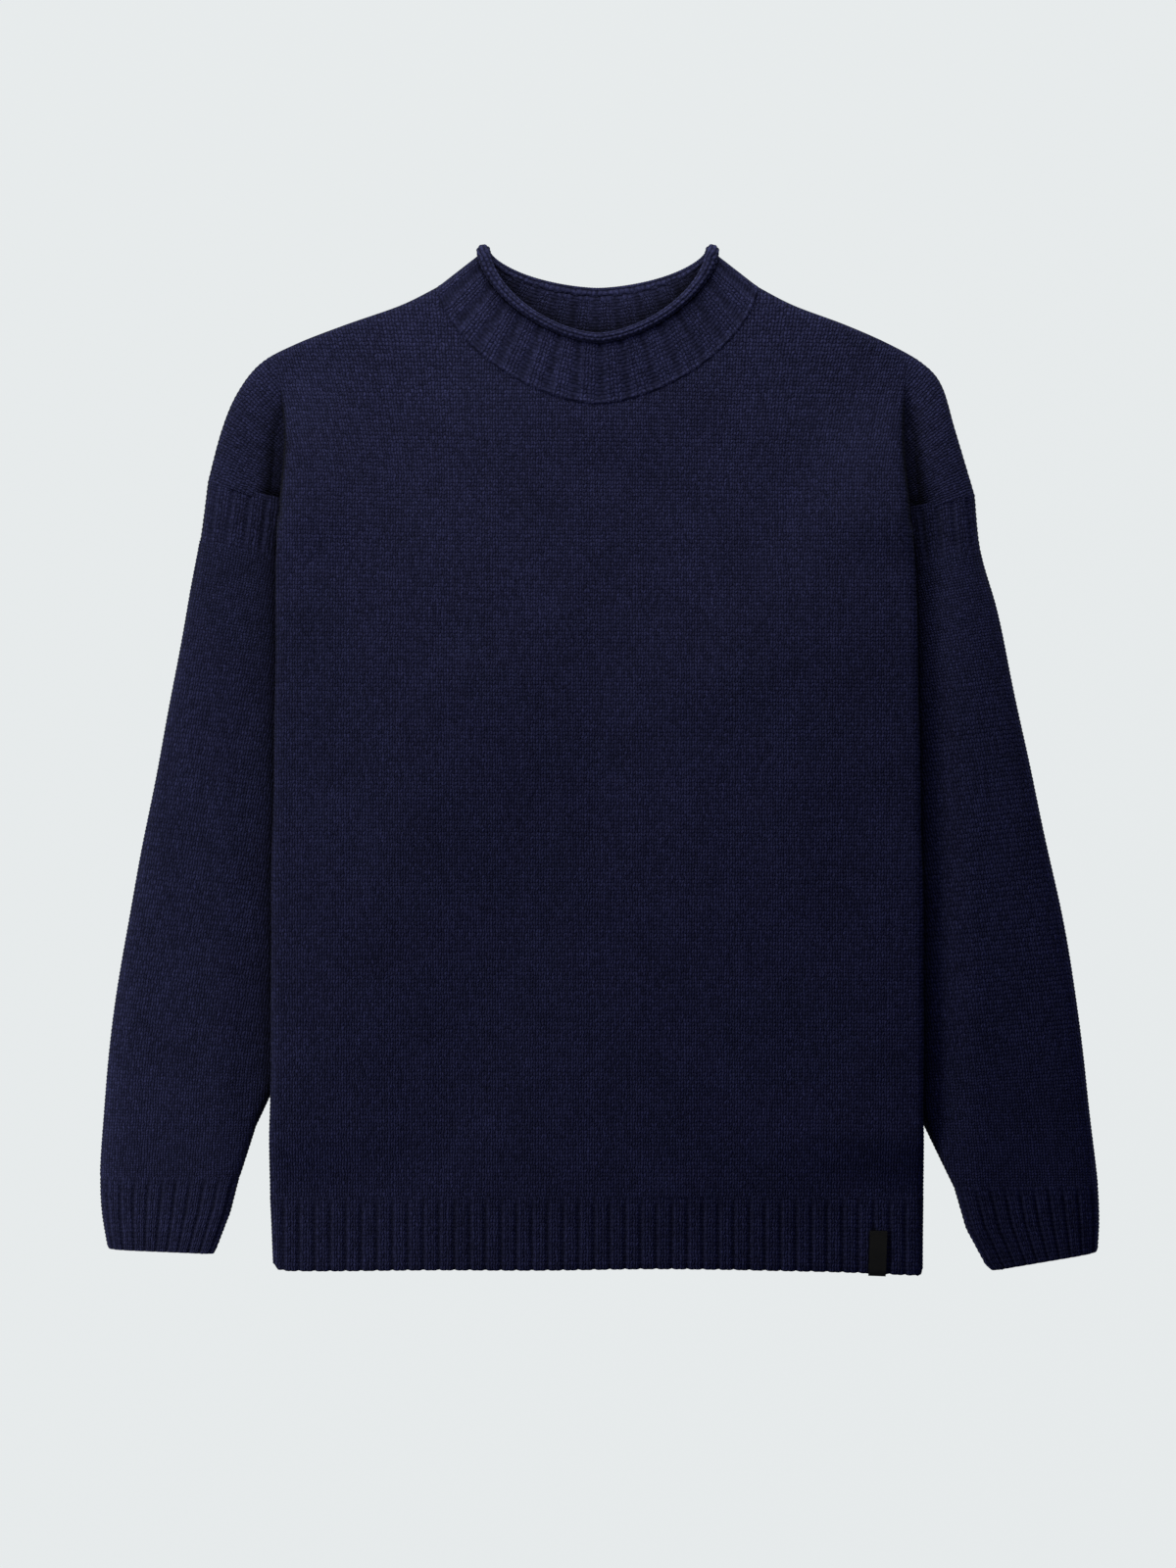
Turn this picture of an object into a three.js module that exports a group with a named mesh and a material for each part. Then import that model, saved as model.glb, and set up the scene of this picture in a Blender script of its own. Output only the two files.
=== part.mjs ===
// A guernsey fisherman sweater, laid flat with its front up and its sleeves brought down and
// tucked behind the body. Millimetres, +Z up. The pieces are set out in a frame whose X = 0 is the
// centre line and whose Y = 0 is the line of the hem, and the whole is then moved so that its
// origin is the middle of the bottom of its box.
//
// Every piece is a wall of knitted cloth: a grid of points, each with a place on the outer face
// and one on the inner face, joined by rims along its cut edges.

import * as THREE from "three";

// The cloth
const WALL = 3;                 // thickness of the knitted wall
const SEAM_GAP = 0.3;           // between one piece and the next
const ROLL_LENGTH = 7;          // how far in a folded edge takes to round over
const PANEL_GAP = 0.15;         // half the gap between front and back along a folded edge
const CENTRE_LOFT = 1;          // air between front and back in the middle of the body
const EDGE_LOFT = 3.4;          // air inside a folded edge, a sleeve or a cuff
const EDGE_LOFT_REACH = 70;     // how far in from a folded edge that air reaches
const LEAST_LOFT = 0.7;         // and the least there is anywhere

// The tucked sleeves and the body lying over them
const SLEEVE_HEIGHT = 2 * WALL + EDGE_LOFT;
const OVER_SLEEVE = SLEEVE_HEIGHT + 1.2;
const DRAPE_START = 40;         // distance before a sleeve's edge where the body starts to rise
const DRAPE_RUN = 26;           // length of that rise
const FRONT_DRAPE_START = 130;  // the same two for the front, which spans the hollow beside
const FRONT_DRAPE_RUN = 135;    // each sleeve
const DRAPE_FOOT = 52;          // height on the body where the rise begins to build
const DRAPE_BUILD = 45;         // height over which it builds
const DRAPE_EASE = 15;          // height below the underarm over which it dies away

// Neck and collar
const NECK_HALF_WIDTH = 107;
const NECK_POINT_Y = 661.5;
const FRONT_NECK_DROP = 79;
const BACK_NECK_DROP = 41;
const NECK_POWER = 1.65;        // exponent of the neck curve
const NECK_LOFT = 4;            // extra air below the neck seam
const NECK_LOFT_REACH = 60;
const TOP_HALF_WIDTH = 76.5;    // the collar's rolled top edge, as the neck seam above
const TOP_POINT_Y = 684.6;
const FRONT_TOP_DROP = 59;
const BACK_TOP_DROP = 27;
const TIP_RISE = 4;             // how far the collar's folded sides climb, seam to roll
const FRONT_RISE = 8;           // how far its front climbs
const COLLAR_START = 0.028;     // share of the collar's height left as the gap at its seam
const COLLAR_END = 0.86;        // share of the height where its wall stops, short of the roll
const COLLAR_END_EXTRA = 0.045; // and how much further it goes at the centre front and back
const COLLAR_ROWS = [0, 0.3, 0.65, 1];
const ROLL_RADIUS = 3.4;
const ROLL_SIDES = 8;
const ROLL_TURN = 5.2;          // radius of the roll's path where it doubles back
const ROLL_FRONT_LIFT = 9;      // roll's centre above its turning point, at centre front
const TURN_STEPS = [0, 0.25, 0.5, 0.75, 1];             // shares of that quarter turn
const ROLL_PLACES = [0.88, 0.76, 0.6, 0.42, 0.2, 0];    // shares of the top's half width

// The soft valley between each dropped shoulder and the chest
const VALLEY_WIDTH = 9;
const VALLEY_DEPTH = 3;
const VALLEY_START = 10;        // height above the underarm over which it deepens
const VALLEY_FADE_Y = 540;      // height where it starts to die away
const VALLEY_FADE = 50;         // height over which it does
const VALLEY_TOP_Y = 610;       // height of its upper end, on the shoulder's outline
const FLANK = 10;               // width of the chest's rounded flank beside the valley
const CHEST_PUFF = 3;           // extra air in the chest beside the valley
const CHEST_PUFF_REACH = 60;    // how far in from the flank it goes
const CHEST_PUFF_Y = { foot: 470, rise: 40, shoulder: 548, fall: 62 };

// The hem tab
const TAB = { left: 182, right: 193.6, top: 29.5, thickness: 1.2, columns: 3, rows: 4 };

// Half the body at each height: where its two folded sides lie.
const SIDES = [
  { y: 2.2, left: -213, right: 213.6 },
  { y: 7, left: -217.3, right: 217.2 },
  { y: 50, left: -219.5, right: 218 },
  { y: 100, left: -219.4, right: 218 },
  { y: 270, left: -217.4, right: 216.6 },
  { y: 370, left: -216.2, right: 215 },
  { y: 435, left: -215.2, right: 213 },
  { y: 515, left: -214, right: 210 },
];

const UNDERARM = {
  left: { x: -214, y: 515 },
  right: { x: 210, y: 510 },
};

// The dropped shoulders' outlines, from the sleeve seam up to the neck.
const SHOULDERS = {
  left: [
    { x: -261.3, y: 530.5 }, { x: -252.2, y: 565 }, { x: -241.7, y: 590 }, { x: -226, y: 610 },
    { x: -202.4, y: 623 }, { x: -169, y: 636 }, { x: -132, y: 649 },
    { x: -NECK_HALF_WIDTH, y: NECK_POINT_Y },
  ],
  right: [
    { x: 252.6, y: 521.5 }, { x: 245, y: 547 }, { x: 239, y: 567 }, { x: 230.5, y: 595 },
    { x: 218, y: 609.8 }, { x: 195.2, y: 623 }, { x: 165.7, y: 636 }, { x: 131, y: 649 },
    { x: NECK_HALF_WIDTH, y: NECK_POINT_Y },
  ],
};

// The x of each valley's upper end.
const VALLEY_TOPS = { left: -215, right: 208 };

// Sections across each sleeve, from the dropped shoulder's seam to the cuff's edge: the point on
// its outer fold and the point on its inner fold.
const SLEEVE_SECTIONS = {
  left: [
    { name: "shoulder seam", outX: -261.3, outY: 530.5, inX: -216.5, inY: 515.7 },
    { name: "head band end", outX: -266.5, outY: 491, inX: -211, inY: 476.5 },
    { name: "upper arm", outX: -274, outY: 452, inX: -158, inY: 435 },
    { name: "widest", outX: -283, outY: 405, inX: -108, inY: 385 },
    { name: "above elbow", outX: -295, outY: 340, inX: -132, inY: 322 },
    { name: "elbow", outX: -307, outY: 275, inX: -158, inY: 258 },
    { name: "forearm", outX: -319, outY: 210, inX: -184, inY: 196 },
    { name: "lower forearm", outX: -328, outY: 150, inX: -209, inY: 140 },
    { name: "above cuff", outX: -331.5, outY: 100, inX: -229, inY: 99 },
    { name: "cuff seam", outX: -333.4, outY: 66, inX: -239.5, inY: 66 },
    { name: "mid cuff", outX: -332.5, outY: 42, inX: -245.5, inY: 42 },
    { name: "cuff edge", outX: -328.5, outY: 17.5, inX: -256, inY: 14.5 },
  ],
  right: [
    { name: "shoulder seam", outX: 252.6, outY: 521.5, inX: 213, inY: 510.7 },
    { name: "head band end", outX: 256.5, outY: 484, inX: 208.5, inY: 471.5 },
    { name: "upper arm", outX: 267, outY: 445, inX: 158, inY: 428 },
    { name: "widest", outX: 277, outY: 400, inX: 104, inY: 380 },
    { name: "above elbow", outX: 290, outY: 340, inX: 125, inY: 320 },
    { name: "elbow", outX: 303.5, outY: 275, inX: 147, inY: 258 },
    { name: "forearm", outX: 316.5, outY: 210, inX: 173, inY: 196 },
    { name: "lower forearm", outX: 325, outY: 150, inX: 202, inY: 138 },
    { name: "above cuff", outX: 331, outY: 100, inX: 218, inY: 99 },
    { name: "cuff seam", outX: 335, outY: 60, inX: 238, inY: 59 },
    { name: "mid cuff", outX: 336, outY: 36, inX: 246, inY: 31 },
    { name: "cuff edge", outX: 335, outY: 15.5, inX: 261, inY: 3 },
  ],
};
const HEAD_BAND_END = 1;
const CUFF_SEAM = 9;
const CUFF_EDGE = 11;

// Where the grids have their points
const FOLD_STEPS = [0, 1, 3.5, ROLL_LENGTH];            // distances in from a folded edge
const BODY_COLUMNS = [188, 166, 143, 122];
const NECK_COLUMNS = [NECK_HALF_WIDTH, 105, 99, 88, 73, 53, 28, 0];
const HEM_SEAM = 51.7;
const BODY_ROWS = [
  HEM_SEAM + SEAM_GAP / 2, 80, 110, 145, 190, 245, 305, 360, 405, 435, 460, 483, 500,
];
const UNDERARM_SHARES = [0.28, 0.55, 0.8, 1];           // of the way from underarm to neck
const HEM_ROWS = [HEM_SEAM - SEAM_GAP / 2, 12, 5];
const HEM_BOTTOM = 2.4;
const HEM_CORNER = { start: 200, run: 18, lift: 1 };    // where its lower corners rise a little
const SHOULDER_FAN = 5;                                 // steps round each underarm
const SLEEVE_SHARES = [0.25, 0.5, 0.75];                // of the way across a sleeve
const OUTLINE_POINTS = 160;
const NECK_CORNER = 12;         // distance from the neck over which a shoulder's fold begins
const BEYOND = 200;             // carries a sleeve's top section out past the body
const LEVEL_WITH = 0.5;         // a point this near the underarm's line counts as on it

const WOOL = new THREE.MeshStandardMaterial({ color: 0x1b1c30, roughness: 0.95, metalness: 0 });
const TAB_WEAVE = new THREE.MeshStandardMaterial({ color: 0x101013, roughness: 0.7, metalness: 0 });

const smooth = (t) => {
  const s = Math.min(1, Math.max(0, t));
  return s * s * (3 - 2 * s);
};

// Straight-line reading of a table: the value of column `to` where column `from` is `at`.
function readTable(rows, from, to, at) {
  const next = rows.findIndex((row) => row[from] >= at);
  const high = rows[next < 0 ? rows.length - 1 : Math.max(1, next)];
  const low = rows[(next < 0 ? rows.length - 1 : Math.max(1, next)) - 1];
  const share = Math.min(1, Math.max(0, (at - low[from]) / (high[from] - low[from])));
  return low[to] + (high[to] - low[to]) * share;
}

// Each shoulder's outline as a close row of points on a smooth curve.
function shoulderOutline(side) {
  const points = SHOULDERS[side].map((row) => new THREE.Vector3(row.x, row.y, 0));
  return new THREE.CatmullRomCurve3(points, false, "centripetal").getPoints(OUTLINE_POINTS);
}

const OUTLINES = { left: shoulderOutline("left"), right: shoulderOutline("right") };

function sideX(side, y) {
  return readTable(SIDES, "y", side, y);
}

// Height of a shoulder's outline at x, measured outwards from the neck.
function shoulderY(x) {
  const side = x < 0 ? "left" : "right";
  const rows = OUTLINES[side].map((point) => ({ out: -Math.abs(point.x), y: point.y }));
  return readTable(rows, "out", "y", -Math.abs(x));
}

// Neck curve: y = neck point - drop * (1 - |x / half width|^power)^(1 / power)
function neckY(x, halfWidth, pointY, drop) {
  const share = Math.min(1, Math.abs(x) / halfWidth);
  return pointY - drop * (1 - share ** NECK_POWER) ** (1 / NECK_POWER);
}

// Nearest place on a run of points to (x, y), and how far it is.
function nearest(x, y, points) {
  let best = { distance: Infinity };
  for (let i = 0; i + 1 < points.length; i += 1) {
    const dx = points[i + 1].x - points[i].x;
    const dy = points[i + 1].y - points[i].y;
    const along = ((x - points[i].x) * dx + (y - points[i].y) * dy) / (dx * dx + dy * dy);
    const share = Math.min(1, Math.max(0, along));
    const atX = points[i].x + dx * share;
    const atY = points[i].y + dy * share;
    const distance = Math.hypot(x - atX, y - atY);
    if (distance < best.distance) {
      const length = Math.hypot(dx, dy);
      best = { distance, x: atX, y: atY, normalX: dy / length, normalY: -dx / length };
    }
  }
  return best;
}

const SIDE_LINES = {
  left: SIDES.map((row) => ({ x: row.left, y: row.y })),
  right: SIDES.map((row) => ({ x: row.right, y: row.y })),
};

// Distance in from the nearest folded edge of the body, and the way in.
function foldAt(x, y) {
  const side = x < 0 ? "left" : "right";
  const sign = x < 0 ? 1 : -1;
  const edge = nearest(x, y, SIDE_LINES[side]);
  const shoulder = nearest(x, y, OUTLINES[side]);
  if (shoulder.distance < edge.distance) {
    const room = Math.max(0, Math.min(1, (Math.abs(x) - NECK_HALF_WIDTH) / NECK_CORNER));
    return {
      distance: shoulder.distance,
      inX: sign * shoulder.normalX * room,
      inY: sign * shoulder.normalY,
    };
  }
  const underarm = UNDERARM[side];
  const past = y > underarm.y - LEVEL_WITH;
  const outside = past && sign * (x - underarm.x) < -LEVEL_WITH;
  const lean = past ? Math.SQRT1_2 : 1;
  return {
    distance: edge.distance,
    inX: outside ? 0 : sign * lean,
    inY: outside || !past ? 0 : Math.SQRT1_2,
  };
}

// Quarter-ellipse rounding of a folded edge: sqrt(1 - (1 - e / length)^2)
function rounding(distance, length = ROLL_LENGTH) {
  return Math.sqrt(1 - (1 - Math.min(Math.max(0, distance), length) / length) ** 2);
}

// How far (x, y) is inside the tucked sleeve's inner fold; less than zero outside it.
function depthOverSleeve(x, y) {
  const side = x < 0 ? "left" : "right";
  const rows = SLEEVE_SECTIONS[side].slice(HEAD_BAND_END);
  const innerFold = rows.map((row) => ({ x: row.inX, y: row.inY }));
  const outwards = x < 0 ? -BEYOND : BEYOND;
  innerFold.unshift({ x: innerFold[0].x + outwards, y: innerFold[0].y });
  const fold = nearest(x, y, innerFold);
  const foldX = readTable([...innerFold].reverse(), "y", "x", y);
  const inside = y < innerFold[0].y && Math.abs(x) > Math.abs(foldX);
  return inside ? fold.distance : -fold.distance;
}

// Underside of the back: the surface, or the top of the tucked sleeve.
function backZ(x, y) {
  const side = x < 0 ? "left" : "right";
  const ease = smooth((UNDERARM[side].y - y) / DRAPE_EASE);
  const build = smooth((y - DRAPE_FOOT) / DRAPE_BUILD) * ease;
  return OVER_SLEEVE * smooth((depthOverSleeve(x, y) + DRAPE_START) / DRAPE_RUN) * build;
}

// Top of the front. It rises more gently than the back, and beside the valley it ends in a flank.
function frontZ(x, y) {
  const side = x < 0 ? "left" : "right";
  const above = smooth((y - UNDERARM[side].y) / DRAPE_EASE + 1);
  const flank = 1 - above * (1 - rounding(valleyDistance(x, y), FLANK));
  const build = smooth((y - DRAPE_FOOT) / DRAPE_BUILD);
  const rise = smooth((depthOverSleeve(x, y) + FRONT_DRAPE_START) / FRONT_DRAPE_RUN);
  return OVER_SLEEVE * rise * build * flank + 2 * WALL + loftAt(x, y);
}

// Line of the valley at height y, from the underarm up to the shoulder's outline.
function valleyX(side, y) {
  const foot = UNDERARM[side];
  const share = Math.min(1, Math.max(0, (y - foot.y) / (VALLEY_TOP_Y - foot.y)));
  return foot.x + (VALLEY_TOPS[side] - foot.x) * share;
}

// How far (x, y) is on the chest's side of its valley.
function valleyDistance(x, y) {
  return x < 0 ? x - valleyX("left", y) : valleyX("right", y) - x;
}

// Air between the front and the back, apart from the front's rise over the sleeves.
function loftAt(x, y) {
  const side = x < 0 ? "left" : "right";
  const fold = foldAt(x, y);
  const inwards = valleyDistance(x, y);
  const dropped = y > UNDERARM[side].y - LEVEL_WITH && inwards < 0;
  const nearEdge = dropped ? 1 : 1 - smooth(fold.distance / EDGE_LOFT_REACH);
  const neckShare = (Math.abs(x) / NECK_HALF_WIDTH) ** NECK_POWER
    + (Math.max(0, NECK_POINT_Y - y) / FRONT_NECK_DROP) ** NECK_POWER;
  const fromNeck = Math.max(0, (neckShare ** (1 / NECK_POWER) - 1) * FRONT_NECK_DROP);
  const neck = NECK_LOFT * (1 - smooth(fromNeck / NECK_LOFT_REACH))
    * Math.max(0, 1 - (x / NECK_HALF_WIDTH) ** 2);
  const { foot, rise, shoulder, fall } = CHEST_PUFF_Y;
  const puffHeight = smooth((y - foot) / rise) * (1 - smooth((y - shoulder) / fall));
  const puff = CHEST_PUFF * puffHeight * rounding(inwards, FLANK)
    * (1 - smooth((inwards - 2 * FLANK) / CHEST_PUFF_REACH));
  const troughHeight = smooth((y - UNDERARM[side].y) / VALLEY_START)
    * (1 - smooth((y - VALLEY_FADE_Y) / VALLEY_FADE));
  const trough = VALLEY_DEPTH * Math.exp(-((inwards / VALLEY_WIDTH) ** 2)) * troughHeight;
  const loft = CENTRE_LOFT + (EDGE_LOFT - CENTRE_LOFT) * nearEdge + neck + puff - trough;
  return Math.max(LEAST_LOFT, loft);
}

// A point of the front (face 1) or the back (face -1).
function panelPoint(x, y, face) {
  const fold = foldAt(x, y);
  const half = (frontZ(x, y) - backZ(x, y)) / 2;
  const middle = backZ(x, y) + half;
  const round = rounding(fold.distance);
  const inset = WALL * (1 - Math.min(fold.distance, ROLL_LENGTH) / ROLL_LENGTH);
  const outerZ = middle + face * (PANEL_GAP + (half - PANEL_GAP) * round);
  const innerZ = middle + face * (PANEL_GAP + (half - WALL - PANEL_GAP) * round);
  return {
    outer: [x, y, outerZ],
    inner: [x + fold.inX * inset, y + fold.inY * inset, innerZ],
  };
}

// A closed wall from points with an outer and an inner place, and cells of three or four points
// that run anticlockwise seen from outside. Edges that only one cell has get a rim.
function wallGeometry(points, cells) {
  const count = points.length;
  const positions = [...points.map((point) => point.outer), ...points.map((point) => point.inner)];
  const triangles = [];
  const edges = new Map();
  for (const cell of cells) {
    const ring = cell.filter((vertex, i) => vertex !== cell[(i + 1) % cell.length]);
    for (let i = 1; i + 1 < ring.length; i += 1) {
      triangles.push(ring[0], ring[i], ring[i + 1]);
      triangles.push(count + ring[0], count + ring[i + 1], count + ring[i]);
    }
    ring.forEach((from, i) => {
      const to = ring[(i + 1) % ring.length];
      edges.set(`${from} ${to}`, [from, to]);
    });
  }
  for (const [from, to] of edges.values()) {
    if (!edges.has(`${to} ${from}`)) {
      triangles.push(to, from, count + from, to, count + from, count + to);
    }
  }
  const geometry = new THREE.BufferGeometry();
  geometry.setAttribute("position", new THREE.Float32BufferAttribute(positions.flat(), 3));
  geometry.setIndex(triangles);
  geometry.computeVertexNormals();
  return geometry;
}

function piece(name, geometry, material = WOOL) {
  const mesh = new THREE.Mesh(geometry, material);
  mesh.name = name;
  return mesh;
}

// Columns across the body at height y.
function columnsAt(y) {
  const left = FOLD_STEPS.map((step) => sideX("left", y) + step);
  const right = FOLD_STEPS.map((step) => sideX("right", y) - step);
  const half = [...BODY_COLUMNS, ...NECK_COLUMNS];
  const middle = [...half.map((x) => -x), ...half.slice(0, -1).reverse()];
  return [...left, ...middle, ...right.reverse()];
}

// Heights of one column from the underarm to the shoulder or neck: shares of the way up, then
// close steps over the folded edge.
function upperRows(bottom, top) {
  const shares = UNDERARM_SHARES.map((share) => bottom + (top - ROLL_LENGTH - bottom) * share);
  return [bottom, ...shares, ...FOLD_STEPS.slice(0, -1).reverse().map((step) => top - step)];
}

// Front or back panel: a grid from the hem seam to the neck, and on each side a fan of rows about
// the underarm for the dropped shoulder.
function panelGeometry(face) {
  const neckDrop = face > 0 ? FRONT_NECK_DROP : BACK_NECK_DROP;
  const points = [];
  const add = (x, y) => points.push(panelPoint(x, y, face)) - 1;
  const grid = BODY_ROWS.map((y) => columnsAt(y).map((x) => add(x, y)));
  const width = grid[0].length;
  const upper = columnsAt(UNDERARM.left.y).map((x, column) => {
    const across = (x - UNDERARM.left.x) / (UNDERARM.right.x - UNDERARM.left.x);
    const bottom = UNDERARM.left.y + (UNDERARM.right.y - UNDERARM.left.y) * across;
    const topX = topColumnX(x, column, width);
    const inNeck = Math.abs(topX) < NECK_HALF_WIDTH;
    const top = inNeck ? neckY(topX, NECK_HALF_WIDTH, NECK_POINT_Y, neckDrop) : shoulderY(topX);
    const heights = upperRows(bottom, top);
    return heights.map((y) => add(x + (topX - x) * (y - bottom) / (top - bottom), y));
  });
  for (let row = 0; row < upper[0].length; row += 1) {
    grid.push(upper.map((column) => column[row]));
  }
  const cells = [];
  for (let row = 0; row + 1 < grid.length; row += 1) {
    for (let column = 0; column + 1 < width; column += 1) {
      cells.push([
        grid[row][column], grid[row][column + 1], grid[row + 1][column + 1], grid[row + 1][column],
      ]);
    }
  }
  cells.push(...shoulderFan("left", upper[0], add));
  cells.push(...shoulderFan("right", upper[width - 1], add).map((cell) => cell.reverse()));
  return wallGeometry(points, face > 0 ? cells : cells.map(([a, b, c, d]) => [a, d, c, b]));
}

// The columns next to each side lean with the valley.
function topColumnX(x, column, width) {
  const sideCount = FOLD_STEPS.length;
  if (column < sideCount) {
    return x + VALLEY_TOPS.left - UNDERARM.left.x;
  }
  if (column >= width - sideCount) {
    return x + VALLEY_TOPS.right - UNDERARM.right.x;
  }
  return x;
}

// Rays from the underarm to the shoulder's outline, from the valley round to the sleeve seam.
function shoulderFan(side, valley, add) {
  const foot = UNDERARM[side];
  const outline = OUTLINES[side];
  const top = outline.findIndex((point) => Math.abs(point.x) <= Math.abs(VALLEY_TOPS[side]));
  const cells = [];
  let ray = valley;
  for (let step = 1; step <= SHOULDER_FAN; step += 1) {
    const rim = outline[Math.round(top * (1 - step / SHOULDER_FAN))];
    const length = Math.hypot(rim.x - foot.x, rim.y - foot.y);
    const next = upperRows(0, length).slice(1).map((reach) => {
      const share = reach / length;
      return add(foot.x + (rim.x - foot.x) * share, foot.y + (rim.y - foot.y) * share);
    });
    next.unshift(valley[0]);
    for (let i = 0; i + 1 < next.length; i += 1) {
      cells.push([next[i], ray[i], ray[i + 1], next[i + 1]]);
    }
    ray = next;
  }
  return cells;
}

// Ribbed hem of the front or the back.
function hemGeometry(face) {
  const points = [];
  const rows = [...HEM_ROWS, HEM_BOTTOM];
  const grid = rows.map((y) => columnsAt(y).map((x) => {
    const corner = smooth((Math.abs(x) - HEM_CORNER.start) / HEM_CORNER.run);
    const lift = y === HEM_BOTTOM ? HEM_CORNER.lift * corner : 0;
    return points.push(panelPoint(x, y + lift, face)) - 1;
  }));
  const cells = [];
  for (let row = 0; row + 1 < grid.length; row += 1) {
    for (let column = 0; column + 1 < grid[0].length; column += 1) {
      cells.push([
        grid[row + 1][column], grid[row + 1][column + 1], grid[row][column + 1], grid[row][column],
      ]);
    }
  }
  return wallGeometry(points, face > 0 ? cells : cells.map(([a, b, c, d]) => [a, d, c, b]));
}

// One flat ring across a sleeve, from its outer fold over the top to its inner fold and back
// underneath.
function sleeveRing(outX, outY, inX, inY) {
  const width = Math.hypot(inX - outX, inY - outY);
  const across = [(inX - outX) / width, (inY - outY) / width];
  const middle = SLEEVE_SHARES.map((share) => ROLL_LENGTH + (width - 2 * ROLL_LENGTH) * share);
  const farSide = [...FOLD_STEPS].reverse().map((step) => width - step);
  const places = [...FOLD_STEPS, ...middle, ...farSide];
  const half = SLEEVE_HEIGHT / 2;
  const at = (place, face) => {
    const distance = Math.min(place, width - place);
    const round = rounding(distance);
    const inset = WALL * (1 - Math.min(distance, ROLL_LENGTH) / ROLL_LENGTH);
    const inner = place + (place < width / 2 ? inset : -inset);
    return {
      outer: [outX + across[0] * place, outY + across[1] * place, half + face * half * round],
      inner: [
        outX + across[0] * inner, outY + across[1] * inner, half + face * (half - WALL) * round,
      ],
    };
  };
  const over = places.map((place) => at(place, 1));
  const under = places.slice(1, -1).reverse().map((place) => at(place, -1));
  return [...over, ...under];
}

// A section moved a little way towards its neighbour, to leave the gap at a seam. Each end of the
// fold moves along its own fold.
function shifted(from, towards, gap) {
  const blend = (key, x, y) => {
    const length = Math.hypot(towards[x] - from[x], towards[y] - from[y]);
    return from[key] + (towards[key] - from[key]) * gap / length;
  };
  return {
    outX: blend("outX", "outX", "outY"),
    outY: blend("outY", "outX", "outY"),
    inX: blend("inX", "inX", "inY"),
    inY: blend("inY", "inX", "inY"),
  };
}

// A closed tube through rings of points, open at both ends.
function tubeGeometry(rings, flip) {
  const count = rings[0].length;
  const cells = [];
  for (let row = 0; row + 1 < rings.length; row += 1) {
    for (let i = 0; i < count; i += 1) {
      const next = (i + 1) % count;
      const cell = [
        row * count + i, (row + 1) * count + i, (row + 1) * count + next, row * count + next,
      ];
      cells.push(flip ? cell.reverse() : cell);
    }
  }
  return wallGeometry(rings.flat(), cells);
}

// A stretch of a sleeve between two of its sections.
function sleeveStretch(side, first, last, firstGap, lastGap) {
  const rows = SLEEVE_SECTIONS[side].slice(first, last + 1);
  const sections = [
    shifted(rows[0], rows[1], firstGap),
    ...rows.slice(1, -1),
    shifted(rows.at(-1), rows.at(-2), lastGap),
  ];
  const rings = sections.map((row) => sleeveRing(row.outX, row.outY, row.inX, row.inY));
  return tubeGeometry(rings, side === "right");
}

// The collar's measures at a share h of its height, from the neck seam (0) to the roll (1).
function collarLevel(h) {
  const between = (low, high) => low + (high - low) * h;
  return {
    h,
    halfWidth: between(NECK_HALF_WIDTH, TOP_HALF_WIDTH),
    pointY: between(NECK_POINT_Y, TOP_POINT_Y),
    frontDrop: between(FRONT_NECK_DROP, FRONT_TOP_DROP),
    backDrop: between(BACK_NECK_DROP, BACK_TOP_DROP),
  };
}

// Places round the collar: across the front from left to right, then back behind.
function collarPlaces() {
  const shares = NECK_COLUMNS.map((x) => x / NECK_HALF_WIDTH);
  const front = [...shares.map((share) => -share), ...shares.slice(0, -1).reverse()];
  const back = [...front].reverse().slice(1, -1);
  return [
    ...front.map((share) => ({ share, face: 1 })),
    ...back.map((share) => ({ share, face: -1 })),
  ];
}

function collarPlan(level, share, face) {
  const x = share * level.halfWidth;
  const drop = face > 0 ? level.frontDrop : level.backDrop;
  return { x, y: neckY(x, level.halfWidth, level.pointY, drop) };
}

// A point of the collar. Its front and back layers part from their folded sides as the body's do,
// and climb with h: the sides by TIP_RISE, the front by more and the back not at all.
function collarPoint(level, share, face) {
  const { x, y } = collarPlan(level, share, face);
  const seam = collarPlan(collarLevel(0), share, face);
  const half = WALL + loftAt(seam.x, seam.y) / 2;
  const fromTip = Math.hypot(level.halfWidth - Math.abs(x), level.pointY - y);
  const round = rounding(fromTip);
  const centre = half + TIP_RISE * level.h;
  const frontRise = TIP_RISE + (FRONT_RISE - TIP_RISE) * (1 - share * share);
  const backRise = TIP_RISE * share ** 4;
  const rise = (face > 0 ? frontRise - TIP_RISE : TIP_RISE - backRise) * level.h;
  const inset = WALL * (1 - Math.min(fromTip, ROLL_LENGTH) / ROLL_LENGTH);
  return {
    outer: [x, y, centre + face * (half + rise) * round],
    inner: [x, y - inset, centre + face * (half + rise - WALL) * round],
  };
}

// Top of the collar wall at a place round it, just short of the roll.
function collarTop(share) {
  return COLLAR_END + COLLAR_END_EXTRA * (1 - share * share);
}

function collarGeometry() {
  const rings = COLLAR_ROWS.map((row) => collarPlaces().map(({ share, face }) => {
    const h = COLLAR_START + (collarTop(share) - COLLAR_START) * row;
    return collarPoint(collarLevel(h), share, face);
  }));
  return tubeGeometry(rings, true);
}

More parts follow.
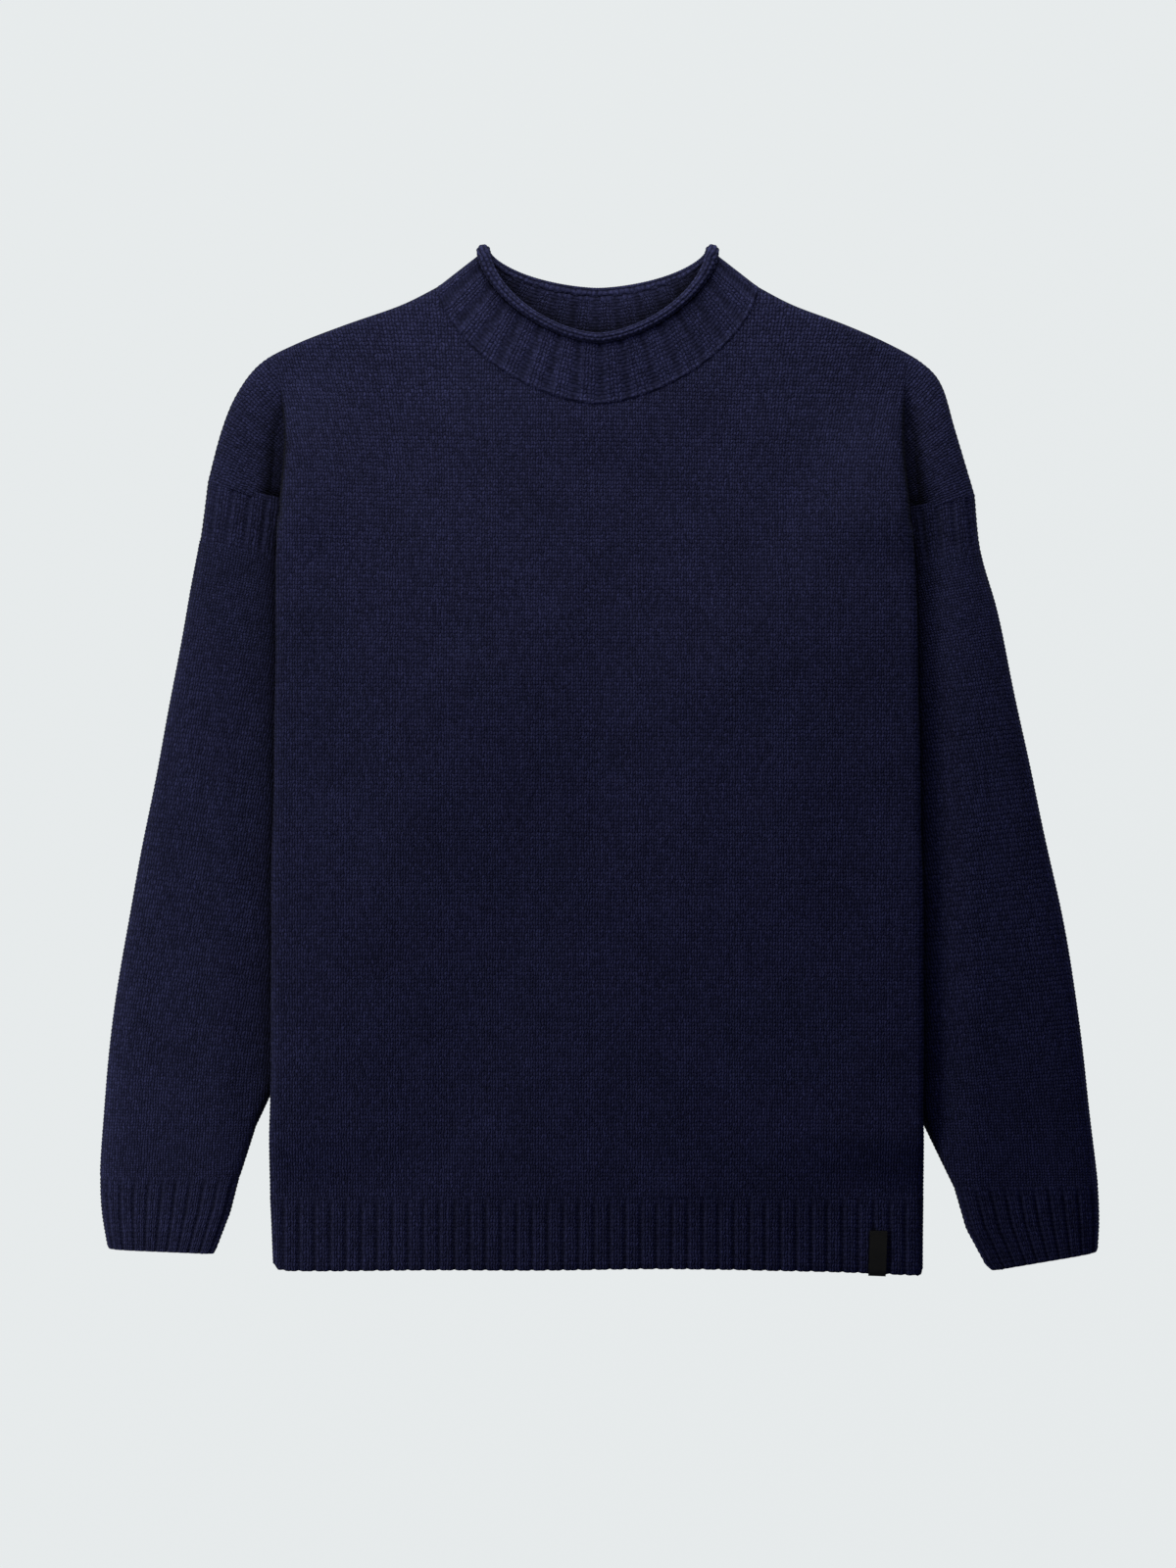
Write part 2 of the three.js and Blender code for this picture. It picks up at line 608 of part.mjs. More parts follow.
// The rolled edge: a closed cord whose path doubles back at each side with radius ROLL_TURN. Near
// a side the neck curve falls from its point by about drop * (power * (1 - share))^(1 / power),
// which gives the share for each step of the turn.
function rollPath() {
  const level = collarLevel(1);
  const shares = (drop) => {
    const turn = TURN_STEPS.map((angle) => {
      const fall = ROLL_TURN * (1 - Math.cos(angle * Math.PI / 2));
      return 1 - ((fall / drop) ** NECK_POWER) / NECK_POWER;
    });
    const half = [...turn, ...ROLL_PLACES];
    return [...half.map((share) => -share), ...half.slice(0, -1).reverse()];
  };
  const at = (share, face) => {
    const { x, y } = collarPlan(level, share, face);
    const fromTip = Math.min(ROLL_TURN, level.pointY - y);
    const round = Math.sqrt(1 - (1 - fromTip / ROLL_TURN) ** 2);
    const extra = face > 0 ? (ROLL_FRONT_LIFT - ROLL_TURN) * (1 - share * share) : 0;
    const z = SLEEVE_HEIGHT / 2 + TIP_RISE + face * (ROLL_TURN + extra) * round;
    return new THREE.Vector3(x, y, z);
  };
  const over = shares(level.frontDrop).map((share) => at(share, 1));
  const under = shares(level.backDrop).reverse().slice(1, -1).map((share) => at(share, -1));
  return [...over, ...under];
}

// A closed cord of round section along a loop of points. Its sections turn as little as they can
// from one point to the next, and the last turn is shared out so that the ends meet.
function cordGeometry(path, radius, sides) {
  const count = path.length;
  const tangents = path.map((_, i) => path[(i + 1) % count].clone()
    .sub(path[(i + count - 1) % count]).normalize());
  const normals = [new THREE.Vector3(0, 1, 0).cross(tangents[0]).normalize()];
  for (let i = 1; i <= count; i += 1) {
    const turn = new THREE.Quaternion().setFromUnitVectors(tangents[i - 1], tangents[i % count]);
    normals.push(normals[i - 1].clone().applyQuaternion(turn));
  }
  const side = tangents[0].clone().cross(normals[0]);
  const twist = Math.atan2(normals[count].dot(side), normals[count].dot(normals[0]));
  const positions = [];
  const triangles = [];
  for (let i = 0; i < count; i += 1) {
    const across = tangents[i].clone().cross(normals[i]);
    for (let j = 0; j < sides; j += 1) {
      const angle = 2 * Math.PI * j / sides - twist * i / count;
      const point = path[i].clone();
      point.addScaledVector(normals[i], radius * Math.cos(angle));
      point.addScaledVector(across, radius * Math.sin(angle));
      positions.push(point.x, point.y, point.z);
      const next = (j + 1) % sides;
      const [a, b] = [i * sides, ((i + 1) % count) * sides];
      triangles.push(a + j, a + next, b + next, a + j, b + next, b + j);
    }
  }
  const geometry = new THREE.BufferGeometry();
  geometry.setAttribute("position", new THREE.Float32BufferAttribute(positions, 3));
  geometry.setIndex(triangles);
  geometry.computeVertexNormals();
  return geometry;
}

// The tab: the front hem's own surface, moved out.
function tabGeometry() {
  const points = [];
  const cells = [];
  const width = TAB.columns + 1;
  for (let row = 0; row <= TAB.rows; row += 1) {
    for (let column = 0; column <= TAB.columns; column += 1) {
      const x = TAB.left + (TAB.right - TAB.left) * column / TAB.columns;
      const y = HEM_BOTTOM + (TAB.top - HEM_BOTTOM) * row / TAB.rows;
      const [, , surface] = panelPoint(x, y, 1).outer;
      const inner = surface + 2 * SEAM_GAP;
      points.push({ outer: [x, y, inner + TAB.thickness], inner: [x, y, inner] });
      if (row < TAB.rows && column < TAB.columns) {
        const corner = row * width + column;
        cells.push([corner, corner + 1, corner + 1 + width, corner + width]);
      }
    }
  }
  return wallGeometry(points, cells);
}

const sweater = new THREE.Group();
sweater.add(piece("front", panelGeometry(1)));
sweater.add(piece("back", panelGeometry(-1)));
sweater.add(piece("front_hem", hemGeometry(1)));
sweater.add(piece("back_hem", hemGeometry(-1)));
for (const [side, wearers] of [["left", "right"], ["right", "left"]]) {
  const half = SEAM_GAP / 2;
  const band = sleeveStretch(side, 0, HEAD_BAND_END, SEAM_GAP + half, half);
  const sleeve = sleeveStretch(side, HEAD_BAND_END, CUFF_SEAM, half, half);
  const cuff = sleeveStretch(side, CUFF_SEAM, CUFF_EDGE, half, 0);
  sweater.add(piece(`${wearers}_sleeve_head`, band));
  sweater.add(piece(`${wearers}_sleeve`, sleeve));
  sweater.add(piece(`${wearers}_cuff`, cuff));
}
sweater.add(piece("collar", collarGeometry()));
sweater.add(piece("collar_roll", cordGeometry(rollPath(), ROLL_RADIUS, ROLL_SIDES)));
sweater.add(piece("hem_tab", tabGeometry(), TAB_WEAVE));

const box = new THREE.Box3().setFromObject(sweater);
const centre = box.getCenter(new THREE.Vector3());
sweater.position.set(-centre.x, -centre.y, -box.min.z);

export default sweater;
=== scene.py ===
import math

import bpy
import numpy as np
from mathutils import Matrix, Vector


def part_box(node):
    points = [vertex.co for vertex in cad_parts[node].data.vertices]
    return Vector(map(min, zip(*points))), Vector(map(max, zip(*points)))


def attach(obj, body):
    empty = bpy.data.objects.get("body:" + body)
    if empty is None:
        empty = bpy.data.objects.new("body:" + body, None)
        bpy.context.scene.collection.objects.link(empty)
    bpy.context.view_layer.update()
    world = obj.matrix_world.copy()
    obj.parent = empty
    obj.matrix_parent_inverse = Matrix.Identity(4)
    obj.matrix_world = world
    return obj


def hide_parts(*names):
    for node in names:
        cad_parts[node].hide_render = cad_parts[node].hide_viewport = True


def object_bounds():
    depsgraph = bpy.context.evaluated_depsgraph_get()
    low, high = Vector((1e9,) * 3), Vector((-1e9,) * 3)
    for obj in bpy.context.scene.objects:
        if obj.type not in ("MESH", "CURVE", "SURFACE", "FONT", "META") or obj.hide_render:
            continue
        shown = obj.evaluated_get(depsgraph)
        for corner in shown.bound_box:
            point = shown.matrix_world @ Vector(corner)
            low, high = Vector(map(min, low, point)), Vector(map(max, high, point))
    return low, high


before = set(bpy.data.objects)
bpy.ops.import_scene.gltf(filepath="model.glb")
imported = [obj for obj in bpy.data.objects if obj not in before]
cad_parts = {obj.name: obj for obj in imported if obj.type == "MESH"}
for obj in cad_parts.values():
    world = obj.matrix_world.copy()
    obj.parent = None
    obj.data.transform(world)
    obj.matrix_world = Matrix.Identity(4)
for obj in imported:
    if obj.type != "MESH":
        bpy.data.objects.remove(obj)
CAD_BOX = [list(corner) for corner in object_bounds()]

# A guernsey fisherman sweater laid flat, front up, with its sleeves tucked behind the body.
# Shapes are worked out in millimetres in the layout frame: x = 0 on the centre line, y = 0 on the
# line of the hem, z = 0 on the surface. in_frame() moves them to the model's frame, in metres.

# The cloth
WALL = 3.0
WALE = 3.6                      # width of one column of stitches
COURSE = 2.6                    # height of one row of stitches
FOLD = 7.0                      # how far in from a folded edge the cloth takes to round over
CENTRE_LOFT = 1.0
EDGE_LOFT = 3.4
EDGE_LOFT_REACH = 70.0
LEAST_LOFT = -1.2
SCALLOP = 0.17                  # how far the edge stitches stand out along a fold

# The tucked sleeves and the body lying over them
SLEEVE_HEIGHT = 2 * WALL + EDGE_LOFT
OVER_SLEEVE = SLEEVE_HEIGHT + 1.2
BACK_DRAPE = (40.0, 26.0)       # start and run of the back's climb over a sleeve
FRONT_DRAPE = (130.0, 135.0)    # and of the front's
DRAPE_FOOT = 52.0
DRAPE_BUILD = 45.0
DRAPE_EASE = 15.0
SLEEVE_PUFF = 7.0               # how far the sleeves swell beside the body,
SLEEVE_PUFF_REACH = 38.0        # how soon from the body's edge
SLEEVE_ROUND = 24.0             # and how roundly they fall to their outer fold

# Neck and collar
NECK_HALF_WIDTH = 107.0
NECK_POINT_Y = 661.5
FRONT_NECK_DROP = 79.0
BACK_NECK_DROP = 41.0
NECK_POWER = 1.65
NECK_LOFT = 4.0
NECK_LOFT_REACH = 60.0
TOP_HALF_WIDTH = 76.5
TOP_POINT_Y = 684.6
FRONT_TOP_DROP = 59.0
BACK_TOP_DROP = 27.0
TIP_RISE = 4.0
FRONT_RISE = 8.0
COLLAR_HEIGHT = 43.0
ROLL_RADIUS = 3.4
ROLL_TURN = 5.2
ROLL_FRONT_LIFT = 9.0
FRONT_RIBS = 15
BACK_RIBS = 13

# The valley beside each dropped shoulder
VALLEY_WIDTH = 9.0
VALLEY_DEPTH = 7.5
FLANK = 10.0
CHEST_PUFF = 5.5
CHEST_PUFF_REACH = 60.0
VALLEY_TOPS = {"left": -215.0, "right": 208.0}
UNDERARM = {"left": (-214.0, 515.0), "right": (210.0, 510.0)}
VALLEY_BOW = {"left": 4.0, "right": 3.5}    # how far it bends towards the chest half way up

PANEL_FOOT = 51.7               # where the panels meet the hem ribs
HEM_BOTTOM = 2.4
TAB = {"left": 182.0, "right": 193.6, "top": 30.0, "thickness": 0.9}

# Where the body's two folded sides lie at each height.
SIDES = {
    "y":     (2.2, 7, 50, 100, 270, 370, 435, 515),
    "left":  (-213.6, -217.3, -219.5, -219.4, -217.4, -216.2, -215.2, -214),
    "right": (216.2, 217.6, 218, 218, 216.6, 215, 213, 210),
}

# The dropped shoulders' outlines, from the sleeve seam up to the neck.
SHOULDERS = {
    "left": [
        (-261.3, 530.5), (-252.2, 565), (-241.7, 590), (-226, 610), (-202.4, 623),
        (-169, 636), (-132, 649), (-NECK_HALF_WIDTH, NECK_POINT_Y),
    ],
    "right": [
        (252.6, 521.5), (245, 547), (239, 567), (230.5, 595), (218, 609.8), (195.2, 623),
        (165.7, 636), (131, 649), (NECK_HALF_WIDTH, NECK_POINT_Y),
    ],
}

# Sections across each sleeve, shoulder to wrist: outer fold (x, y), inner fold (x, y).
SLEEVES = {
    "left": [
        (-261.3, 530.5, -216.5, 515.7), (-266.5, 491, -211, 476.5), (-274, 452, -158, 435),
        (-283, 405, -108, 385), (-295, 340, -132, 322), (-307, 275, -158, 258),
        (-319, 210, -184, 196), (-328, 150, -209, 140), (-331.5, 100, -229, 99),
        (-333.4, 66, -239.5, 66), (-332.5, 42, -245.5, 42), (-328.5, 17.5, -256, 14.5),
    ],
    "right": [
        (252.6, 521.5, 213, 510.7), (256.5, 484, 208.5, 471.5), (267, 445, 158, 428),
        (277, 400, 104, 380), (290, 340, 125, 320), (303.5, 275, 147, 258),
        (316.5, 210, 173, 196), (325, 150, 202, 138), (331, 100, 218, 99),
        (335, 60, 238, 59), (336, 36, 246, 31), (335, 15.5, 261, 3),
    ],
}
HEAD_BAND_END = 1
CUFF_SEAM = 9
CUFF_EDGE = 11

# Soft creases of the body: from (x, y) to (x, y), how wide and how deep. Less than zero is a ridge.
FRONT_CREASES = [
    {"ends": (-150, 560, -95, 430), "width": 20, "depth": 1.1},
    {"ends": (150, 545, 70, 440), "width": 24, "depth": 1.3},
    {"ends": (-185, 470, -120, 330), "width": 22, "depth": -0.9},
    {"ends": (95, 360, 120, 210), "width": 30, "depth": 1.5},
    {"ends": (175, 300, 130, 140), "width": 26, "depth": 1.0},
    {"ends": (-60, 300, -85, 120), "width": 34, "depth": 0.9},
    {"ends": (-170, 220, -150, 80), "width": 18, "depth": -0.8},
    {"ends": (20, 170, 55, 70), "width": 24, "depth": -0.7},
    {"ends": (-40, 560, 30, 520), "width": 22, "depth": 0.7},
]
BACK_CREASES = [
    {"ends": (-60, 520, -40, 400), "width": 20, "depth": 0.5},
    {"ends": (50, 330, 20, 180), "width": 26, "depth": 0.6},
    {"ends": (-30, 250, -60, 110), "width": 22, "depth": 0.4},
]

HEM_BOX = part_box("front_hem")
SHIFT_X = HEM_BOX[0].x * 1000 - min(SIDES["left"])
SHIFT_Y = HEM_BOX[0].y * 1000 - HEM_BOTTOM


def in_frame(points):
    """Layout millimetres to the model's frame in metres: add the shift, divide by 1000."""
    return (np.asarray(points, float) + (SHIFT_X, SHIFT_Y, 0.0)) / 1000.0


def smooth(t):
    """3 t^2 - 2 t^3, held at 0 and 1 outside that range."""
    t = np.clip(t, 0.0, 1.0)
    return t * t * (3.0 - 2.0 * t)


def rounding(distance, length=FOLD):
    """Quarter ellipse of a folded edge: sqrt(1 - (1 - e / length)^2), and 1 beyond length."""
    left = 1.0 - np.clip(distance, 0.0, length) / length
    return np.sqrt(np.clip(1.0 - left * left, 0.0, 1.0))


def through(rows, at):
    """Catmull-Rom curve through table rows: at row k + t, the cubic of rows k - 1 to k + 2."""
    rows = np.asarray(rows, float)
    last = len(rows) - 1
    low = np.clip(np.floor(at).astype(int), 0, last - 1)
    t = (np.asarray(at) - low)[..., None]
    before, start, end, after = (rows[np.clip(low + k, 0, last)] for k in (-1, 0, 1, 2))
    return 0.5 * (
        2 * start
        + (end - before) * t
        + (2 * before - 5 * start + 4 * end - after) * t ** 2
        + (3 * start - before - 3 * end + after) * t ** 3
    )


def along(line):
    """Length from the start of a run of points to each of them."""
    return np.concatenate([[0.0], np.cumsum(np.linalg.norm(np.diff(line, axis=0), axis=1))])


def even_steps(curve, step):
    """Positions along a sampled curve at equal spacing: its length is cut into whole steps."""
    length = along(curve[:, :2])
    count = max(2, int(round(length[-1] / step)))
    wanted = np.linspace(0.0, length[-1], count + 1)
    return np.interp(wanted, length, np.linspace(0.0, 1.0, len(curve))), length[-1]


def nearest(x, y, line):
    """Least distance from (x, y) to the straight steps of a line."""
    best = np.full(np.broadcast(x, y).shape, np.inf)
    for (ax, ay), (bx, by) in zip(line[:-1], line[1:]):
        dx, dy = bx - ax, by - ay
        share = np.clip(((x - ax) * dx + (y - ay) * dy) / (dx * dx + dy * dy), 0.0, 1.0)
        best = np.minimum(best, np.hypot(x - ax - dx * share, y - ay - dy * share))
    return best


OUTLINES = {
    side: through(rows, np.linspace(0, len(rows) - 1, 97)) for side, rows in SHOULDERS.items()
}
SIDE_LINES = {side: list(zip(SIDES[side], SIDES["y"])) for side in ("left", "right")}


def side_x(side, y):
    return np.interp(y, SIDES["y"], SIDES[side])


def shoulder_y(x):
    """Height of the nearer shoulder's outline at x."""
    left, right = OUTLINES["left"], OUTLINES["right"][::-1]
    return np.where(
        x < 0, np.interp(x, left[:, 0], left[:, 1]), np.interp(x, right[:, 0], right[:, 1])
    )


def neck_y(x, half_width, point_y, drop):
    """Neck curve: y = point - drop (1 - |x / half width|^p)^(1 / p)."""
    share = np.clip(np.abs(x) / half_width, 0.0, 1.0)
    return point_y - drop * (1.0 - share ** NECK_POWER) ** (1.0 / NECK_POWER)


def fold_distance(x, y):
    """Distance in from the nearest folded edge of the body."""
    lines = [SIDE_LINES["left"], SIDE_LINES["right"], OUTLINES["left"], OUTLINES["right"]]
    return np.min([nearest(x, y, line) for line in lines], axis=0)


def by_side(x, left, right):
    return np.where(x < 0, left, right)


def valley_distance(x, y):
    """How far (x, y) is on the chest's side of its valley, whose line runs straight up."""
    across = []
    for side, sign in (("left", 1.0), ("right", -1.0)):
        foot_x, foot_y = UNDERARM[side]
        share = np.clip((y - foot_y) / (610.0 - foot_y), 0.0, 1.0)
        line = foot_x + (VALLEY_TOPS[side] - foot_x) * share
        line = line + sign * VALLEY_BOW[side] * np.sin(np.pi * share)
        across.append(sign * (x - line))
    return by_side(x, *across)


def underarm_y(x):
    return by_side(x, UNDERARM["left"][1], UNDERARM["right"][1])


def depth_over_sleeve(x, y):
    """Signed distance to the tucked sleeve's inner fold: more than zero where it lies below."""
    depths = []
    for side, sign in (("left", -1.0), ("right", 1.0)):
        fold = [row[2:] for row in SLEEVES[side][HEAD_BAND_END:]]
        fold = [(fold[0][0] + sign * 200.0, fold[0][1])] + fold
        at_y = [point[1] for point in fold[::-1]]
        fold_x = np.interp(y, at_y, [point[0] for point in fold[::-1]])
        inside = (y < fold[0][1]) & (np.abs(x) > np.abs(fold_x))
        distance = nearest(x, y, fold)
        depths.append(np.where(inside, distance, -distance))
    return by_side(x, *depths)


def creases(x, y, rows):
    """Sum of soft troughs: depth exp(-(distance to the crease / width)^2)."""
    total = np.zeros(np.shape(x))
    for row in rows:
        x0, y0, x1, y1 = row["ends"]
        total += row["depth"] * np.exp(-(nearest(x, y, [(x0, y0), (x1, y1)]) / row["width"]) ** 2)
    return total


def swell(from_body, from_fold):
    """Swelling of a sleeve beside the body: a smooth step away from the body's edge times a
    quarter ellipse in from its own outer fold."""
    return SLEEVE_PUFF * smooth(from_body / SLEEVE_PUFF_REACH) * rounding(from_fold, SLEEVE_ROUND)


def loft(x, y, fold):
    """Air between front and back: more near a fold, round the neck and on the chest beside the
    valley, and less in the valley itself."""
    inwards = valley_distance(x, y)
    foot = underarm_y(x)
    dropped = (y > foot - 1) & (inwards < 0)
    near_edge = np.where(dropped, 1.0, 1.0 - smooth(fold / EDGE_LOFT_REACH))
    neck_share = (
        (np.abs(x) / NECK_HALF_WIDTH) ** NECK_POWER
        + (np.maximum(0.0, NECK_POINT_Y - y) / FRONT_NECK_DROP) ** NECK_POWER
    )
    from_neck = np.maximum(0.0, (neck_share ** (1 / NECK_POWER) - 1) * FRONT_NECK_DROP)
    neck = NECK_LOFT * (1 - smooth(from_neck / NECK_LOFT_REACH))
    neck = neck * np.maximum(0.0, 1 - (x / NECK_HALF_WIDTH) ** 2)
    window = smooth((y - 470) / 40) * (1 - smooth((y - 548) / 62))
    puff = CHEST_PUFF * window * rounding(inwards, FLANK)
    puff = puff * (1 - smooth((inwards - 2 * FLANK) / CHEST_PUFF_REACH))
    trough = VALLEY_DEPTH * np.exp(-((inwards / VALLEY_WIDTH) ** 2))
    trough = trough * smooth((y - foot + 12) / 10) * (1 - smooth((y - 550) / 55))
    trough = trough * (1 - smooth((inwards + 1) / 4))
    total = CENTRE_LOFT + (EDGE_LOFT - CENTRE_LOFT) * near_edge + neck + puff - trough
    return np.maximum(LEAST_LOFT, total)


def back_z(x, y):
    """Underside of the back: 0, rising by OVER_SLEEVE over the tucked sleeve."""
    start, run = BACK_DRAPE
    ease = smooth((underarm_y(x) - y) / DRAPE_EASE)
    build = smooth((y - DRAPE_FOOT) / DRAPE_BUILD) * ease
    return OVER_SLEEVE * smooth((depth_over_sleeve(x, y) + start) / run) * build


def front_z(x, y, fold):
    """Top of the front: a gentle rise over each sleeve, a rounded flank beside the valley, two
    walls and the air between them."""
    start, run = FRONT_DRAPE
    above = smooth((y - underarm_y(x)) / DRAPE_EASE + 1)
    flank = 1 - above * (1 - rounding(valley_distance(x, y), FLANK))
    build = smooth((y - DRAPE_FOOT) / DRAPE_BUILD)
    rise = smooth((depth_over_sleeve(x, y) + start) / run)
    beside = swell(-valley_distance(x, y), fold) * (y > underarm_y(x) - 1)
    return OVER_SLEEVE * rise * build * flank + 2 * WALL + loft(x, y, fold) + beside


def panel_points(x, y, face, hem=False):
    """Outer face of the front (face 1) or back (face -1): middle height +- half height, rounded
    towards the folded edges, less the creases."""
    fold = fold_distance(x, y)
    low, high = back_z(x, y), front_z(x, y, fold)
    half = (high - low) / 2
    rows = FRONT_CREASES if face > 0 else BACK_CREASES
    sink = 0.0 if hem else creases(x, y, rows) * smooth(fold / 40)
    z = low + half + face * ((half - 0.02) * rounding(fold) - sink * (1.0 if face > 0 else 1.0))
    return np.stack([x, y, z], axis=-1)


# ---------------------------------------------------------------------------------------------
# Building meshes


def build_mesh(name, grids, flip=False, weld=True):
    """One mesh from grids of points (rows, columns, 3) with stitch coordinates (rows, columns, 2).
    Each grid's cells become quads, and points that fall together are merged."""
    points, stitches, quads, start = [], [], [], 0
    for grid, uv in grids:
        rows, columns = grid.shape[:2]
        index = start + np.arange(rows * columns).reshape(rows, columns)
        quad = np.stack(
            [index[:-1, :-1], index[:-1, 1:], index[1:, 1:], index[1:, :-1]], axis=-1
        ).reshape(-1, 4)
        points.append(grid.reshape(-1, 3))
        stitches.append(uv.reshape(-1, 2))
        quads.append(quad[:, ::-1] if flip else quad)
        start += rows * columns
    points, stitches, quads = (np.concatenate(part) for part in (points, stitches, quads))
    points[:, 2] = np.maximum(points[:, 2], 0.0)
    spots = np.round(points / 2e-3).astype(np.int64)
    if weld:
        _, first, same = np.unique(spots, axis=0, return_index=True, return_inverse=True)
        same = same.reshape(-1)
    else:
        first = np.arange(len(points))
        same = first
    welded = same[quads]
    loops, sizes, corners = tidy_faces(welded, quads)
    mesh = bpy.data.meshes.new(name)
    mesh.vertices.add(len(first))
    mesh.vertices.foreach_set("co", in_frame(points[first]).astype(np.float32).ravel())
    mesh.loops.add(len(loops))
    mesh.loops.foreach_set("vertex_index", loops.astype(np.int32))
    mesh.polygons.add(len(sizes))
    mesh.polygons.foreach_set("loop_start", (np.cumsum(sizes) - sizes).astype(np.int32))
    layer = mesh.uv_layers.new(name="stitches")
    layer.data.foreach_set("uv", stitches[corners].astype(np.float32).ravel())
    mesh.validate()
    mesh.update()
    mesh.polygons.foreach_set("use_smooth", np.ones(len(mesh.polygons), bool))
    piece = bpy.data.objects.new(name, mesh)
    bpy.context.scene.collection.objects.link(piece)
    return piece


def tidy_faces(welded, quads):
    """Quads whose corners were merged become triangles: each corner equal to the next one is
    dropped, and faces left with fewer than three corners go."""
    keep = welded != np.roll(welded, -1, axis=1)
    sizes = keep.sum(axis=1)
    whole = sizes >= 3
    keep = keep[whole]
    return welded[whole][keep], sizes[whole], quads[whole][keep]


SHARP = math.radians(72.0)


def thicken(piece, thickness=WALL, inside=0):
    """A wall of cloth: Solidify inwards from the outer face, then its cut edges are made sharp."""
    wall = piece.modifiers.new("wall", "SOLIDIFY")
    wall.thickness = thickness / 1000.0
    wall.offset = -1.0
    wall.use_even_offset = False
    wall.material_offset = inside
    wall.material_offset_rim = 0
    for _ in range(inside + 1):
        piece.data.materials.append(None)
    made = piece.evaluated_get(bpy.context.evaluated_depsgraph_get())
    walled = bpy.data.meshes.new_from_object(made)
    thin = piece.data
    piece.modifiers.clear()
    piece.data = walled
    bpy.data.meshes.remove(thin)
    walled.name = piece.name
    walled.materials.clear()
    walled.set_sharp_from_angle(angle=SHARP)


def finish_piece(piece, nodes, materials):
    """Rides on the one body, stands for its CAD nodes and takes its materials."""
    for material in materials:
        piece.data.materials.append(material)
    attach(piece, "root")
    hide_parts(*nodes)


# ---------------------------------------------------------------------------------------------
# Front, back and hems


def fold_steps():
    return np.array([0.0, 0.35, 1.0, 2.0, 3.4, 5.0, FOLD])


def body_columns():
    """Columns across the body as (share of the left side, share of the right side, distance):
    close steps at each fold, 5.5 mm over the shoulders, and close steps at the neck points."""
    shoulder = np.concatenate([[201, 198.5, 195.5, 191.5], np.linspace(187, 107, 16)[:-1]])
    neck = np.concatenate([[107, 106.5, 105, 102.5, 99, 95, 90], np.linspace(84, 0, 15)])
    half = np.concatenate([shoulder, neck])
    return np.concatenate([-half, half[:-1][::-1]])


def columns_at(y):
    """x of every column at heights y: rows by columns."""
    y = np.atleast_1d(y)[:, None]
    steps = fold_steps()[None, :]
    middle = np.broadcast_to(body_columns(), (len(y), len(body_columns())))
    return np.hstack([side_x("left", y) + steps, middle, (side_x("right", y) - steps)[:, ::-1]])


def edge_wobble(y, phase):
    """Slow unevenness of a folded edge: two sines of different length."""
    return 0.4 * np.sin(y / 37.0 + phase) + 0.2 * np.sin(y / 15.0 + 2.3 * phase)


def scallops(rows, amount=SCALLOP):
    """Edge stitches: out on one half course and in on the next, each a little different."""
    size = 1.0 + 0.3 * np.sin(rows * 1.7) * np.sin(rows * 0.37 + 1.0)
    return amount * size * np.cos(np.pi * rows)


WALE_LEAN = 0.28                # how steeply the chest's wales lean outwards beside the valley
WALE_LEAN_REACH = 150.0
WALE_LEAN_START = 530.0


def panel(face):
    """Grids of the front or back panel: body, then a fan round each underarm for the shoulder."""
    drop = FRONT_NECK_DROP if face > 0 else BACK_NECK_DROP
    left_foot, right_foot = UNDERARM["left"], UNDERARM["right"]
    low_rows = int(round((left_foot[1] - PANEL_FOOT) / (COURSE / 2)))
    columns = columns_at(left_foot[1])[0]
    across = (columns - left_foot[0]) / (right_foot[0] - left_foot[0])
    foot_y = left_foot[1] + (right_foot[1] - left_foot[1]) * across
    share = np.linspace(0.0, 1.0, low_rows + 1)[:, None]
    low_y = PANEL_FOOT + (foot_y[None, :] - PANEL_FOOT) * share
    low_x = columns_at(low_y[:, 0])
    row = np.arange(low_rows + 1)[:, None]
    fade = edge_fade(low_x)
    slip = np.sign(low_x) * fade
    slip = slip * (scallops(row) + edge_wobble(low_y, 1.0 + 0.6 * (low_x > 0)))
    low_v = np.broadcast_to(row / 2.0, low_x.shape)

    side_steps = len(fold_steps())
    top_x = columns.copy()
    top_x[:side_steps] += VALLEY_TOPS["left"] - left_foot[0]
    top_x[-side_steps:] += VALLEY_TOPS["right"] - right_foot[0]
    in_neck = np.abs(top_x) < NECK_HALF_WIDTH
    top_y = np.where(
        in_neck, neck_y(top_x, NECK_HALF_WIDTH, NECK_POINT_Y, drop), shoulder_y(top_x)
    )
    reach = upper_shares(top_y - foot_y)
    high_y = foot_y + (top_y - foot_y) * reach
    high_x = columns + (top_x - columns) * reach
    bow = np.interp(columns, [-214, -107, 107, 210], [VALLEY_BOW["left"], 0, 0, -VALLEY_BOW["right"]])
    high_x = high_x + bow * np.sin(np.pi * np.clip((high_y - foot_y) / (610.0 - foot_y), 0, 1))
    high_v = low_rows / 2.0 + (high_y - foot_y) / COURSE

    near_valley = smooth(1 - np.abs(valley_distance(high_x, high_y)) / WALE_LEAN_REACH)
    above = np.maximum(0.0, high_y - WALE_LEAN_START)
    lean = WALE_LEAN * near_valley * above ** 2 / (above + 25.0)
    high_u = high_x - np.sign(high_x) * lean
    low, high = panel_points(low_x, low_y, face), panel_points(high_x, high_y, face)
    low[..., 0] += slip
    high[..., 0] += slip[-1:] * (1.0 - smooth((high_y - foot_y) / 4.0))
    grids = [
        (low, np.stack([low_x / WALE, low_v], -1)),
        (high, np.stack([high_u / WALE, high_v], -1)),
    ]
    for side, column in (("left", 0), ("right", -1)):
        grids.append(shoulder_fan(side, high_x[:, column], high_y[:, column], high[:, column], face))
    return grids


def edge_fade(x):
    """1 at a folded side, falling to 0 where the fold ends."""
    edge = np.minimum(np.abs(x - x[:, :1]), np.abs(x - x[:, -1:]))
    return (1.0 - smooth(edge / FOLD)) ** 2


